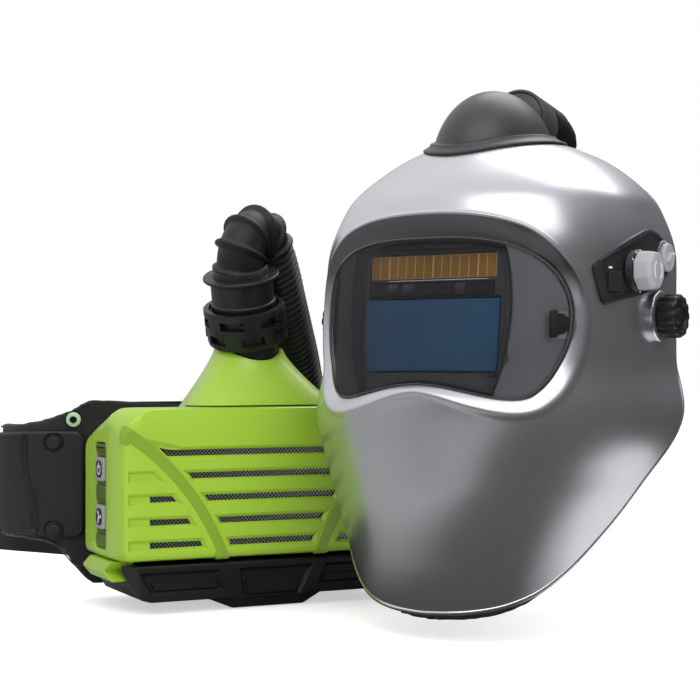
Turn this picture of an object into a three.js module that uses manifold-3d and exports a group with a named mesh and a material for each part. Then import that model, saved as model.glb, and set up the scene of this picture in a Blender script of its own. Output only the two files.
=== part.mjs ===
// A belt-worn powered air respirator: blower unit, hip belt, breathing hose and welding helmet.
// Millimetres, +Z up. The blower's louvred front faces -Y; the helmet stands in front of its right end.
// The origin lies on the floor under the middle of the object's own box, the free hose left out.
import * as THREE from "three";
import { mergeVertices } from "three/addons/utils/BufferGeometryUtils.js";
import Module from "manifold-3d";

const wasm = await Module();
wasm.setup();

// ---------------------------------------------------------------- driving dimensions
const GAP = 0.4; // clearance between pieces that touch on the real object

const HALF_WIDTH = 111; // blower housing
const FRONT = -45;
const SEAM = -15; // parting plane between front cover and rear housing
const BACK = 45;
const HOUSING_BOTTOM = 36;
const HOUSING_TOP = 141;
const WALL = 3;
const FAN_HEIGHT = 82; // height of the fan's axis
const TOP_SLOT = 109.4; // height of the top row of slots
const SLOT_PITCH = 15.6;
const SLOT_HEIGHT = 4.2;

const BALL = new THREE.Vector3(0, 0, 178); // centre of the hose outlet's ball joint
const OUTLET_AXIS = new THREE.Vector3(-0.213, -0.277, 0.937).normalize();
const HOSE_RADIUS = 18;

const WAIST_FRONT = 56; // centre line of the belt loop, seen from above
const WAIST_HALF = 152;
const WAIST_FRONT_CORNER = 70;
const WAIST_SIDE = 62;
const WAIST_REAR_CORNER = 75;

const HELMET_PLACE = new THREE.Vector3(113, -161.5, 16.6); // chin rim's centre height above the floor
const HELMET_YAW = THREE.MathUtils.degToRad(-59);
const CROWN = 306; // shell height, chin rim to crown
const SHELL = 2.6;
const SHELL_REACH = 106; // degrees from the face round to the shell's rear edge
const PIVOT = { y: -5, z: 183 }; // headgear pivot, seen from the side
const FILTER_TILT = THREE.MathUtils.degToRad(-6);

// ---------------------------------------------------------------- materials
function material(color, roughness, metalness = 0) {
  return new THREE.MeshStandardMaterial({ color, roughness, metalness });
}

const green = material(0x8fbf1f, 0.35);
const darkGreen = material(0x4c6414, 0.5);
const black = material(0x1c1d20, 0.55);
const darkGrey = material(0x333438, 0.6);
const rubber = material(0x232426, 0.7);
const fabric = material(0x26272a, 0.95);
const silver = material(0xa6a7ad, 0.28, 0.85);
const steel = material(0xb5b7ba, 0.35, 0.95);
const lightGrey = material(0xb9bac0, 0.5);
const white = material(0xe3e4e0, 0.9);
const board = material(0x1f5a3a, 0.5);
const copper = material(0x8a8d93, 0.4, 0.8);
const amber = material(0x7a5220, 0.3);
const blueGlass = material(0x2d4f78, 0.08);
const smoke = new THREE.MeshStandardMaterial({
  color: 0x6d7075,
  roughness: 0.05,
  transparent: true,
  opacity: 0.35,
});

// ---------------------------------------------------------------- solids
// A closed geometry as a manifold solid, its faces turned outwards.
function solid(geometry) {
  const plain = new THREE.BufferGeometry().setAttribute(
    "position",
    (geometry.index ? geometry.toNonIndexed() : geometry).getAttribute("position"),
  );
  const merged = mergeVertices(plain, 1e-3);
  const corners = merged.index.array;
  const kept = [];
  for (let i = 0; i < corners.length; i += 3) {
    const [a, b, c] = corners.slice(i, i + 3);
    if (a !== b && b !== c && c !== a) kept.push(a, b, c);
  }
  const build = (order) =>
    new wasm.Manifold(
      new wasm.Mesh({
        numProp: 3,
        vertProperties: new Float32Array(merged.attributes.position.array),
        triVerts: new Uint32Array(order),
      }),
    );
  const made = build(kept);
  return made.volume() > 0 ? made : build(kept.reverse());
}

function geometryOf(made) {
  const mesh = made.getMesh();
  const vertices = new Float32Array(mesh.numVert * 3);
  for (let i = 0; i < mesh.numVert; i++) {
    vertices.set(mesh.vertProperties.subarray(i * mesh.numProp, i * mesh.numProp + 3), i * 3);
  }
  return new THREE.BufferGeometry()
    .setAttribute("position", new THREE.BufferAttribute(vertices, 3))
    .setIndex(new THREE.BufferAttribute(mesh.triVerts, 1));
}

function join(first, ...others) {
  return others.reduce((sum, next) => sum.add(next), first);
}

function cut(first, ...tools) {
  return tools.reduce((rest, tool) => rest.subtract(tool), first);
}

function block(low, high) {
  const size = high.map((value, i) => value - low[i]);
  const centre = high.map((value, i) => (value + low[i]) / 2);
  return solid(new THREE.BoxGeometry(...size).translate(...centre));
}

// An outline drawn in one plane and extruded along that plane's normal from one value to another.
const PLANES = {
  x: new THREE.Matrix4().makeBasis(
    new THREE.Vector3(0, 1, 0),
    new THREE.Vector3(0, 0, 1),
    new THREE.Vector3(1, 0, 0),
  ),
  y: new THREE.Matrix4().makeBasis(
    new THREE.Vector3(1, 0, 0),
    new THREE.Vector3(0, 0, 1),
    new THREE.Vector3(0, -1, 0),
  ),
  z: new THREE.Matrix4(),
};

function prism(outline, normal, from, to) {
  const shape = Array.isArray(outline)
    ? new THREE.Shape(outline.map(([a, b]) => new THREE.Vector2(a, b)))
    : outline;
  const geometry = new THREE.ExtrudeGeometry(shape, {
    depth: to - from,
    bevelEnabled: false,
    curveSegments: 3,
  });
  geometry.applyMatrix4(PLANES[normal]);
  const shift = normal === "y" ? to : from;
  return solid(geometry.translate(...["x", "y", "z"].map((axis) => (axis === normal ? shift : 0))));
}

// A rectangle with rounded corners, as a shape.
function rounded(width, height, radius, x = 0, y = 0) {
  const right = x + width / 2;
  const left = x - width / 2;
  const top = y + height / 2;
  const low = y - height / 2;
  const shape = new THREE.Shape();
  shape.moveTo(left + radius, low);
  shape.lineTo(right - radius, low);
  shape.absarc(right - radius, low + radius, radius, -Math.PI / 2, 0);
  shape.lineTo(right, top - radius);
  shape.absarc(right - radius, top - radius, radius, 0, Math.PI / 2);
  shape.lineTo(left + radius, top);
  shape.absarc(left + radius, top - radius, radius, Math.PI / 2, Math.PI);
  shape.lineTo(left, low + radius);
  shape.absarc(left + radius, low + radius, radius, Math.PI, Math.PI * 1.5);
  return shape;
}

// A turned piece round +Z from [radius, height] points, closed on the axis or on itself.
function turned(profile, segments = 28) {
  const first = profile[0];
  const onAxis = first[0] === 0;
  const points = (onAxis ? profile : [...profile, first]).map(([r, h]) => new THREE.Vector2(r, h));
  return solid(new THREE.LatheGeometry(points, segments).rotateX(Math.PI / 2));
}

function disc(radius, low, high, segments = 28) {
  return turned([[0, low], [radius, low], [radius, high], [0, high]], segments);
}

function place(made, matrix) {
  return solid(geometryOf(made).toNonIndexed().applyMatrix4(matrix));
}

function spin(made, degrees) {
  return place(made, new THREE.Matrix4().makeRotationZ(THREE.MathUtils.degToRad(degrees)));
}

function mirrored(made) {
  return place(made, new THREE.Matrix4().makeScale(-1, 1, 1));
}

// Turns a piece made round +Z so that it lies along the given axis at the given point.
function aim(made, direction, point) {
  const turn = new THREE.Quaternion().setFromUnitVectors(
    new THREE.Vector3(0, 0, 1),
    new THREE.Vector3(...direction).normalize(),
  );
  const size = new THREE.Vector3(1, 1, 1);
  return place(made, new THREE.Matrix4().compose(new THREE.Vector3(...point), turn, size));
}

// A closed sheet: surface(u, v, side) gives its outer (side 0) and inner (side 1) faces.
function sheet(columns, rows, surface, ring = false) {
  const points = [0, 1].map((side) =>
    Array.from({ length: columns + 1 }, (_, i) =>
      Array.from({ length: rows + 1 }, (_, j) =>
        surface((ring ? i % columns : i) / columns, j / rows, side),
      ),
    ),
  );
  const faces = [];
  const quad = (a, b, c, d) => faces.push(a, b, c, a, c, d);
  for (let i = 0; i < columns; i++) {
    for (let j = 0; j < rows; j++) {
      const [outer, inner] = points;
      quad(outer[i][j], outer[i + 1][j], outer[i + 1][j + 1], outer[i][j + 1]);
      quad(inner[i][j + 1], inner[i + 1][j + 1], inner[i + 1][j], inner[i][j]);
    }
    quad(points[1][i][0], points[1][i + 1][0], points[0][i + 1][0], points[0][i][0]);
    quad(points[0][i][rows], points[0][i + 1][rows], points[1][i + 1][rows], points[1][i][rows]);
  }
  if (!ring) {
    for (let j = 0; j < rows; j++) {
      quad(points[0][0][j], points[0][0][j + 1], points[1][0][j + 1], points[1][0][j]);
      const [outer, inner] = [points[0][columns], points[1][columns]];
      quad(outer[j + 1], outer[j], inner[j], inner[j + 1]);
    }
  }
  return solid(new THREE.BufferGeometry().setFromPoints(faces));
}

// Monotone cubic interpolation through [position, value] rows.
function smooth(rows) {
  const slopes = rows.slice(1).map(([x, y], i) => (y - rows[i][1]) / (x - rows[i][0]));
  const tangents = rows.map((row, i) => {
    const [before, after] = [slopes[i - 1], slopes[i]];
    if (before === undefined || after === undefined) return before ?? after;
    return before * after <= 0 ? 0 : (2 * before * after) / (before + after);
  });
  return (x) => {
    const last = rows.length - 2;
    const i = Math.min(last, Math.max(0, rows.findIndex((row) => row[0] > x) - 1));
    const k = x >= rows[last][0] ? last : i;
    const width = rows[k + 1][0] - rows[k][0];
    const t = Math.min(1, Math.max(0, (x - rows[k][0]) / width));
    const [a, b] = [rows[k][1], rows[k + 1][1]];
    return (
      a * (2 * t ** 3 - 3 * t ** 2 + 1) +
      b * (3 * t ** 2 - 2 * t ** 3) +
      width * (tangents[k] * (t ** 3 - 2 * t ** 2 + t) + tangents[k + 1] * (t ** 3 - t ** 2))
    );
  };
}

function add(group, name, made, look) {
  const mesh = new THREE.Mesh(geometryOf(made), look);
  mesh.name = name;
  group.add(mesh);
}

const assembly = new THREE.Group();
const blower = new THREE.Group();
const connector = new THREE.Group();
const belt = new THREE.Group();
const helmet = new THREE.Group();
const filterUnit = new THREE.Group();
assembly.add(blower, connector, belt, helmet);
helmet.add(filterUnit);

// ---------------------------------------------------------------- blower housing
// The top falls away behind the front cover, so the housing lies close to the wearer's back.
const topHeight = (y) => (y < -19 ? HOUSING_TOP - 0.5 : HOUSING_TOP - 2 - (y + 19) * 0.33);

function housingPlan(inset) {
  const side = HALF_WIDTH - inset;
  const front = FRONT + inset;
  const back = BACK - inset;
  const outline = [
    [-side + 8, front],
    [side - 8, front],
    [side, front + 14],
    [side, back - 7],
    [side - 7, back],
    [7 - side, back],
    [-side, back - 7],
    [-side, front + 14],
  ];
  return prism(outline, "z", 0, 200);
}

function rearHousing() {
  const profile = (inset, seam) => [
    [seam, HOUSING_BOTTOM + inset],
    [38 - inset, HOUSING_BOTTOM + inset],
    [BACK - inset, HOUSING_BOTTOM + 8],
    [BACK - inset, 112],
    [34 - inset, topHeight(34) - inset],
    [seam, topHeight(seam) - inset],
  ];
  const outer = prism(profile(0, SEAM + GAP / 2), "x", -HALF_WIDTH, HALF_WIDTH).intersect(housingPlan(0));
  const inner = prism(profile(WALL, SEAM - 1), "x", 8 - HALF_WIDTH, HALF_WIDTH - 4).intersect(
    housingPlan(WALL),
  );
  const keypadPocket = prism(rounded(25, 72, 3, 0.5, 79), "x", -120, 5.2 - HALF_WIDTH);
  const outletHole = disc(19, 110, 150);
  return cut(outer, inner, keypadPocket, outletHole);
}

// A curved rib that sweeps from the cover's side down to its bottom edge.
function sweepingBand(side) {
  const edge = (shift) =>
    new THREE.QuadraticBezierCurve(
      new THREE.Vector2(side * (HALF_WIDTH + 1), 124 + shift),
      new THREE.Vector2(side * (66 - shift), 92 + shift),
      new THREE.Vector2(side * (43 - shift), HOUSING_BOTTOM),
    ).getPoints(8);
  const outline = [...edge(5.5), ...edge(-5.5).reverse()].map(({ x, y }) => [x, y]);
  return prism(outline, "y", FRONT - 1, FRONT + 2);
}

// Slot rows, top to bottom: the centre slot's half length, and where the short outer slot runs.
const SLOT_ROWS = [
  { half: 74 },
  { half: 64 },
  { half: 51, outer: [-90, -75] },
  { half: 41, outer: [-90, -62] },
  { half: 33, outer: [-90, -53] },
];

function slot(from, to, z) {
  const lean = 3;
  const half = SLOT_HEIGHT / 2;
  const outline = [
    [from + lean, z - half],
    [to - lean, z - half],
    [to, z + half],
    [from, z + half],
  ];
  return prism(outline, "y", FRONT - 5, FRONT + 6);
}

function frontCover() {
  const profile = (inset, seam) => [
    [seam, HOUSING_BOTTOM + inset],
    [FRONT + 5, HOUSING_BOTTOM + inset],
    [FRONT + inset, HOUSING_BOTTOM + 5],
    [FRONT + inset, HOUSING_TOP - 5],
    [FRONT + 5, HOUSING_TOP - inset],
    [seam, topHeight(seam) - inset],
  ];
  const outer = prism(profile(0, SEAM - GAP / 2).reverse(), "x", -HALF_WIDTH, HALF_WIDTH).intersect(
    housingPlan(0),
  );
  const inner = prism(profile(WALL, SEAM + 1).reverse(), "x", 4 - HALF_WIDTH, HALF_WIDTH - 4).intersect(
    housingPlan(WALL),
  );
  const slots = SLOT_ROWS.flatMap(({ half, outer: side }, row) => {
    const z = TOP_SLOT - row * SLOT_PITCH;
    const centre = slot(-half, half, z);
    return side ? [centre, slot(side[0], side[1], z), slot(-side[1], -side[0], z)] : [centre];
  });
  const bands = [-1, 1].map((side) => sweepingBand(side).intersect(housingPlan(-0.9)));
  return cut(join(outer, ...bands), inner, ...slots);
}

add(blower, "rear_housing", rearHousing(), green);
add(blower, "front_cover", frontCover(), green);
add(blower, "spark_mesh", block([-100, -41, 42], [100, -40, 118]), steel);
add(blower, "prefilter", block([-98, -39.6, 43], [98, -36.6, 117]), white);

// The filter cartridge: a frame with a pleated pack standing in it.
function particleFilter() {
  const frame = cut(block([-97, -36, 43], [97, -12, 117]), block([-92, -37, 48], [92, -14, 112]));
  const pleats = Array.from({ length: 22 }, (_, i) => {
    const x = -88 + i * 8;
    return prism([[x, -14.5], [x + 4, -33], [x + 8, -14.5]], "z", 47.5, 112.5);
  });
  return join(frame, ...pleats);
}
add(blower, "particle_filter", particleFilter(), white);

// ---------------------------------------------------------------- fan
const FAN_FRONT = -10;
const FAN_BACK = 24;

// A scroll whose radius grows round the impeller towards the outlet at its top.
function scrollOutline(inset) {
  const points = [];
  for (let degrees = 30; degrees <= 310; degrees += 20) {
    const angle = THREE.MathUtils.degToRad(degrees);
    const radius = 34 - inset + (degrees - 30) * 0.024;
    points.push([-Math.sin(angle) * radius, FAN_HEIGHT + Math.cos(angle) * radius]);
  }
  return [...points, [20 - inset, 117 - inset], [-17 + inset, 117 - inset]].reverse();
}

function fanScroll() {
  const shaftHole = aim(disc(4, 0, 12), [0, 1, 0], [0, 18, FAN_HEIGHT]);
  const inlet = aim(disc(22, 0, 10), [0, 1, 0], [0, FAN_FRONT - 5, FAN_HEIGHT]);
  return cut(
    prism(scrollOutline(0), "y", FAN_FRONT, FAN_BACK),
    prism(scrollOutline(2), "y", FAN_FRONT + 2, FAN_BACK - 2),
    block([-14, FAN_FRONT + 3, 108], [15, FAN_BACK - 3, 120]),
    inlet,
    shaftHole,
  );
}
add(blower, "fan_scroll", fanScroll(), black);

function impeller() {
  const blades = Array.from({ length: 14 }, (_, i) => {
    const blade = block([19, -6, 1], [29.5, -4.8, 22]);
    return spin(blade, (i * 360) / 14);
  });
  const backPlate = disc(30, 0, 1.8, 32);
  const hub = disc(7, 0, 16, 20);
  const bore = disc(2.9, -1, 17, 16);
  return aim(cut(join(backPlate, hub, ...blades), bore), [0, -1, 0], [0, 19.5, FAN_HEIGHT]);
}
add(blower, "impeller", impeller(), darkGrey);
add(blower, "motor_shaft", aim(disc(2.5, 0, 32, 16), [0, 1, 0], [0, 1.5, FAN_HEIGHT]), steel);
const motor = cut(disc(19, 0, 16), disc(3.4, -1, 10, 16));
add(blower, "motor", aim(motor, [0, 1, 0], [0, FAN_BACK + GAP, FAN_HEIGHT]), copper);

function circuitBoard() {
  const chips = [[54, 4], [76, 18], [92, 8]].map(([z, y]) => block([-99, y, z], [-95.5, y + 9, z + 9]));
  return join(block([-101, -6, 46], [-98.8, 34, 108]), ...chips);
}
add(blower, "circuit_board", circuitBoard(), board);

// ---------------------------------------------------------------- keypad on the left end
const BUTTONS = { power: 97, speed: 64 };
const END = -HALF_WIDTH;

function keypadFrame() {
  const plate = prism(rounded(25 - GAP * 2, 72 - GAP * 2, 2.6, 0.5, 79), "x", END + 1.4, END + 4.8);
  const holes = Object.values(BUTTONS).map((z) => prism(rounded(21, 18, 3, 0.5, z), "x", END - 5, END + 6));
  return cut(plate, ...holes);
}
add(blower, "keypad_frame", keypadFrame(), darkGreen);

function button(z) {
  return prism(rounded(20, 17, 2.6, 0.5, z), "x", END + 0.6, END + 3);
}
add(blower, "power_button", button(BUTTONS.power), lightGrey);
add(blower, "speed_button", button(BUTTONS.speed), lightGrey);

// ---------------------------------------------------------------- outlet cone
// A hood from a rounded rectangle on the housing to a round, saddle-cut lip for the ball joint.
function outletCone() {
  return sheet(
    32,
    5,
    (u, v, side) => {
      const angle = u * 2 * Math.PI;
      const [c, s] = [Math.cos(angle), Math.sin(angle)];
      const square = 1 / (Math.abs(c) ** 5 + Math.abs(s) ** 5) ** (1 / 5);
      const inset = side ? 2.6 : 0;
      const base = [(56 - inset) * c * square, -3 + (37 - inset) * s * square];
      const lip = [(25 - inset) * c, (25 - inset) * s];
      const spread = (1 - v) ** 1.25;
      const x = lip[0] + (base[0] - lip[0]) * spread;
      const y = lip[1] + (base[1] - lip[1]) * spread;
      const low = topHeight(base[1]) + GAP + 0.3;
      const high = 181.5 - 9 * s * s;
      return new THREE.Vector3(x, y, low + (high - low) * v ** 0.9);
    },
    true,
  );
}
add(blower, "outlet_cone", outletCone(), green);

// ---------------------------------------------------------------- battery
function batteryPack() {
  const body = prism(
    [[-HALF_WIDTH + 3, 33], [-95, 10], [-88, 8], [88, 8], [95, 10], [HALF_WIDTH - 3, 33]],
    "y",
    FRONT + 3,
    BACK - 5,
  );
  const bulge = prism([[-44, 9], [-27, 0], [27, 0], [44, 9]], "y", FRONT + 8, BACK - 10);
  const plan = prism(
    [[-112, -20], [-98, FRONT + 3], [98, FRONT + 3], [112, -20], [112, 40], [-112, 40]],
    "z",
    -1,
    40,
  );
  const panels = [-1, 1].map((side) => {
    const [near, far] = [12 * side, 84 * side];
    const outline = [[near, 28], [near, 15], [far - 6 * side, 15], [far, 28]];
    return prism(side > 0 ? outline : outline.reverse(), "y", FRONT, FRONT + 4.6);
  });
  const latchPockets = [-1, 1].map((side) =>
    block([Math.min(side * 92, side * 115), -30, 21], [Math.max(side * 92, side * 115), 35, 36]),
  );
  return cut(join(body, bulge).intersect(plan), ...panels, ...latchPockets);
}
add(blower, "battery_pack", batteryPack(), black);

// Chevron-shaped release tabs at both ends of the battery, pointing backwards.
function batteryLatch(side) {
  const chevron = [[33, 28.5], [21, 35.5], [-28, 35.5], [-17, 28.5], [-28, 21.8], [21, 21.8]];
  const tab = prism(chevron, "x", 95, HALF_WIDTH + 3);
  const grip = prism(
    [[94, 21], [HALF_WIDTH, 21], [HALF_WIDTH + 3, 27], [HALF_WIDTH + 1, 36], [94, 36]],
    "y",
    -40,
    40,
  );
  const shaped = tab.intersect(grip);
  return side > 0 ? shaped : mirrored(shaped);
}
add(blower, "battery_latch_left", batteryLatch(-1), green);
add(blower, "battery_latch_right", batteryLatch(1), green);

// ---------------------------------------------------------------- hose outlet and hose
connector.position.copy(BALL);
connector.quaternion.setFromUnitVectors(new THREE.Vector3(0, 0, 1), OUTLET_AXIS);

function ballSwivel() {
  const ball = Array.from({ length: 9 }, (_, i) => {
    const angle = THREE.MathUtils.degToRad(-52 + i * 10.6);
    return [21.4 * Math.cos(angle), 21.4 * Math.sin(angle)];
  });
  return turned([[15, -16.8], ...ball, [18.4, 14], [18.4, 34], [15, 34]], 30);
}
add(connector, "ball_swivel", ballSwivel(), black);

// The bayonet ring, with two staggered rows of windows through its wall.
function bayonetRing() {
  const wall = turned([[22.6, 9.6], [27, 9.6], [28, 22], [28, 37], [25, 37], [25, 12], [22.6, 12]], 32);
  const windows = Array.from({ length: 8 }, (_, i) => {
    const low = i % 2 ? 13 : 26;
    return spin(block([20, -7, low], [32, 7, low + 5]), i * 45);
  });
  return cut(wall, ...windows);
}
add(connector, "bayonet_ring", bayonetRing(), black);

const cuffLower = [
  [19, 18],
  [22, 18],
  [22, 57],
  [26.3, 57],
  [26.3, 59.6],
  [15, 59.6],
  [15, 40],
  [19, 40],
];
add(connector, "hose_cuff_lower", turned(cuffLower, 28), black);

// From the outlet over its tight first bend, down inside the belt loop, along the floor and up to the helmet.
const HOSE_ROUTE = [
  [-12.8, -16.6, 234.1],
  [-13.4, -17.4, 236.9],
  [-14, -18.7, 244],
  [-12, -18, 253],
  [-6, -14, 261],
  [2, -8, 265],
  [9, -2, 264],
  [14, 2.5, 260],
  [22, 11, 248],
  [31, 21, 233.5],
  [39.5, 31.5, 218],
  [53, 49, 196.5],
  [68, 68, 171],
  [83, 88, 136],
  [94, 105, 92],
  [107, 122, 50],
  [128, 138, 26],
  [156, 148, 20],
  [183, 141, 20],
  [202, 116, 20],
  [209, 82, 20],
  [206, 46, 20],
  [197, 14, 23],
  [186, -12, 39],
  [179, -30, 72],
  [177.5, -39, 116],
  [181, -41.5, 166],
  [183, -45, 216],
  [186, -52, 254],
  [190.5, -63.5, 284],
  [194, -79, 305],
  [193.5, -95, 318.5],
  [188.2, -108.5, 326.5],
  [180.9, -117.1, 329.4],
  [173.7, -122.5, 330.4],
].map((point) => new THREE.Vector3(...point));

function freeHose() {
  const section = new THREE.Shape(
    new THREE.EllipseCurve(0, 0, HOSE_RADIUS, HOSE_RADIUS).getSpacedPoints(8).slice(0, -1),
  );
  const path = new THREE.CatmullRomCurve3(HOSE_ROUTE);
  path.arcLengthDivisions = 600;
  return solid(
    new THREE.ExtrudeGeometry(section, { extrudePath: path, steps: 76, bevelEnabled: false }),
  );
}
add(assembly, "breathing_hose", freeHose(), rubber);

// ---------------------------------------------------------------- belt
// A point of the belt loop: distance along it from the middle of the front, outward offset, height.
function waistFrame(distance) {
  const side = distance < 0 ? -1 : 1;
  const frontEnd = WAIST_HALF - WAIST_FRONT_CORNER;
  const sideStart = frontEnd + (WAIST_FRONT_CORNER * Math.PI) / 2;
  const rearStart = sideStart + WAIST_SIDE;
  const rearEnd = rearStart + (WAIST_REAR_CORNER * Math.PI) / 2;
  const cornerY = WAIST_FRONT + WAIST_FRONT_CORNER;
  const rearX = WAIST_HALF - WAIST_REAR_CORNER;
  const rearY = cornerY + WAIST_SIDE;
  const along = Math.abs(distance);
  let point = [along, WAIST_FRONT];
  let normal = [0, -1];
  if (along > rearEnd) {
    point = [rearX - (along - rearEnd), rearY + WAIST_REAR_CORNER];
    normal = [0, 1];
  } else if (along > rearStart) {
    const angle = (along - rearStart) / WAIST_REAR_CORNER;
    normal = [Math.cos(angle), Math.sin(angle)];
    point = [rearX + WAIST_REAR_CORNER * normal[0], rearY + WAIST_REAR_CORNER * normal[1]];
  } else if (along > sideStart) {
    point = [WAIST_HALF, cornerY + along - sideStart];
    normal = [1, 0];
  } else if (along > frontEnd) {
    const angle = (along - frontEnd) / WAIST_FRONT_CORNER;
    normal = [Math.sin(angle), -Math.cos(angle)];
    point = [frontEnd + WAIST_FRONT_CORNER * normal[0], cornerY + WAIST_FRONT_CORNER * normal[1]];
  }
  return { point: [side * point[0], point[1]], normal: [side * normal[0], normal[1]] };
}

function onBelt(distance, offset, z) {
  const { point, normal } = waistFrame(distance);
  return new THREE.Vector3(point[0] + offset * normal[0], point[1] + offset * normal[1], z);
}

// A band of the belt from one distance to another, its edges given as functions of the distance.
function beltBand(from, to, inner, outer, low, high, columns, rows = 1) {
  return sheet(columns, rows, (u, v, side) => {
    const distance = from + (to - from) * u;
    const [bottom, top] = [low(distance), high(distance)];
    return onBelt(distance, side ? inner : outer, bottom + (top - bottom) * v);
  });
}

// A turned piece set through the belt, its axis along the belt's outward normal.
function throughBelt(made, distance, z) {
  const { point, normal } = waistFrame(distance);
  return aim(made, [normal[0], normal[1], 0], [point[0], point[1], z]);
}

const PAD_HALF = 175;
const GROMMETS = { distance: 112, z: 129.7 };
const STUDS = { distance: 125, heights: { upper: 113, lower: 49 } };
const padTop = smooth([[0, 145], [100, 145], [115, 138], [135, 131], [160, 127], [PAD_HALF, 127]]);
const padLow = smooth([[0, 9], [99, 9], [112, 21], [128, 37], [150, 41], [PAD_HALF, 42]]);

function backPad() {
  const low = (distance) => padLow(Math.abs(distance));
  const high = (distance) => padTop(Math.abs(distance));
  const pad = beltBand(-PAD_HALF, PAD_HALF, -5, 5, low, high, 42, 1);
  const holes = [-1, 1].map((side) =>
    throughBelt(disc(4.4, -12, 12, 16), side * GROMMETS.distance, GROMMETS.z),
  );
  return cut(pad, ...holes);
}
add(belt, "back_pad", backPad(), fabric);
add(belt, "belt_plate", block([-95, 45.4, 52], [95, 50.6, 108]), black);

const wingLow = smooth([[104, 50], [110, 44], [190, 50], [200, 58]]);
const wingTop = smooth([[104, 116], [110, 122], [190, 118], [200, 110]]);
const strapHeight = smooth([[170, 83], [200, 82], [300, 40], [417, 22]]);
for (const [name, side] of [["left", -1], ["right", 1]]) {
  const near = (distance) => wingLow(Math.abs(distance));
  const far = (distance) => wingTop(Math.abs(distance));
  const wing = beltBand(side * 104, side * 200, 5.4, 8.4, near, far, 14);
  add(belt, `hip_wing_${name}`, wing, darkGrey);
  const low = (distance) => strapHeight(Math.abs(distance)) - 19;
  const high = (distance) => strapHeight(Math.abs(distance)) + 19;
  const strap = beltBand(side * (PAD_HALF + GAP), side * 417, -1.25, 1.25, low, high, 26);
  add(belt, `webbing_${name}`, strap, black);
  const grommet = turned([[2.2, -5.6], [4, -5.6], [4, 5.4], [5.8, 5.4], [5.8, 6.4], [2.2, 6.4]], 20);
  add(belt, `grommet_${name}`, throughBelt(grommet, side * GROMMETS.distance, GROMMETS.z), black);
  for (const [level, z] of Object.entries(STUDS.heights)) {
    const stud = turned([[0, 8.8], [6, 8.8], [6, 9.8], [4.4, 11.4], [0, 11.4]], 20);
    add(belt, `stud_${name}_${level}`, throughBelt(stud, side * STUDS.distance, z), steel);
  }
}

const beltRear = WAIST_FRONT + WAIST_FRONT_CORNER + WAIST_SIDE + WAIST_REAR_CORNER;
const buckleSocket = cut(
  block([-31.4, beltRear - 6, 1], [6, beltRear + 6, 43]),
  block([-14, beltRear - 4, 5], [8, beltRear + 4, 39]),
);
add(belt, "buckle_socket", buckleSocket, black);
const bucklePlug = join(
  block([6.4, beltRear - 5.5, 2], [31.4, beltRear + 5.5, 42]),
  block([-12, beltRear - 3, 6], [8, beltRear + 3, 16]),
  block([-12, beltRear - 3, 28], [8, beltRear + 3, 38]),
);
add(belt, "buckle_plug", bucklePlug, black);

// ---------------------------------------------------------------- helmet shell
helmet.position.copy(HELMET_PLACE);
helmet.rotation.z = HELMET_YAW;

// Level sections of the shell: reach to the front, half width, where the section is widest, squareness.
const shellFront = smooth([
  [0, 100],
  [30, 107],
  [80, 113],
  [120, 113],
  [155, 110],
  [185, 108],
  [220, 105],
  [255, 95],
  [280, 70],
  [297, 38],
  [CROWN, 0],
]);
const shellWidth = smooth([
  [0, 84],
  [30, 95],
  [80, 113],
  [120, 124],
  [155, 114],
  [185, 113],
  [220, 112],
  [255, 100],
  [280, 75],
  [297, 42],
  [CROWN, 0],
]);
const shellMiddle = smooth([
  [0, -8],
  [30, -4],
  [80, 0],
  [120, 3],
  [155, 4],
  [185, 5],
  [220, 8],
  [255, 12],
  [280, 18],
  [CROWN, 24],
]);
const shellSquareness = smooth([[0, 1.9], [60, 1.9], [120, 2.05], [180, 2.35], [CROWN, 2.3]]);
const rimHeight = smooth([
  [0, 0],
  [15, 1],
  [30, 4],
  [45, 12],
  [58, 28],
  [70, 54],
  [82, 88],
  [92, 112],
  [100, 132],
  [110, 152],
]);
const POLE_Y = 12;

// A point of the shell: degrees round from the face towards the wearer's left, height, offset outwards.
function onShell(degrees, height, offset = 0) {
  const angle = THREE.MathUtils.degToRad(degrees);
  const [c, s] = [Math.cos(angle), Math.sin(angle)];
  const power = shellSquareness(height);
  const reach = 1 / (Math.abs(s) ** power + Math.abs(c) ** power) ** (1 / power);
  const middle = shellMiddle(height);
  const length = c > 0 ? shellFront(height) + middle : 0.9 * shellWidth(height);
  const point = new THREE.Vector3(shellWidth(height) * s * reach, middle - length * c * reach, height);
  if (height >= CROWN) point.set(0, POLE_Y, CROWN);
  const outward = point.clone().sub(new THREE.Vector3(0, 10, 165)).normalize();
  return point.addScaledVector(outward, offset);
}

function shellPatch(fromDegrees, toDegrees, low, high, outer, inner, columns, rows) {
  return sheet(columns, rows, (u, v, side) =>
    onShell(fromDegrees + (toDegrees - fromDegrees) * u, low + (high - low) * v, side ? inner : outer),
  );
}

// The visor opening seen from the front: a round-topped trapezoid with a raised nose in its lower edge.
function visorEdge(angle) {
  const [c, s] = [Math.cos(angle), Math.sin(angle)];
  const degrees = 49.5 * Math.sign(c) * Math.abs(c) ** (2 / 3);
  const nose = Math.max(0, 1 - (degrees / 36) ** 2) ** 1.5;
  return [degrees, s > 0 ? 50 * s : 63 * s + 20 * nose * Math.min(1, -4 * s)];
}

const VISOR_HEIGHT = 183;

function visorPatch(from, to, outer, inner, rows = 4) {
  return sheet(
    44,
    rows,
    (u, v, side) => {
      const [degrees, rise] = visorEdge(u * 2 * Math.PI);
      const scale = from + (to - from) * v;
      return onShell(degrees * scale, VISOR_HEIGHT + rise * scale, side ? inner : outer);
    },
    true,
  );
}

const alongX = (made, x, y, z) => aim(made, [1, 0, 0], [x, y, z]);

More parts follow.
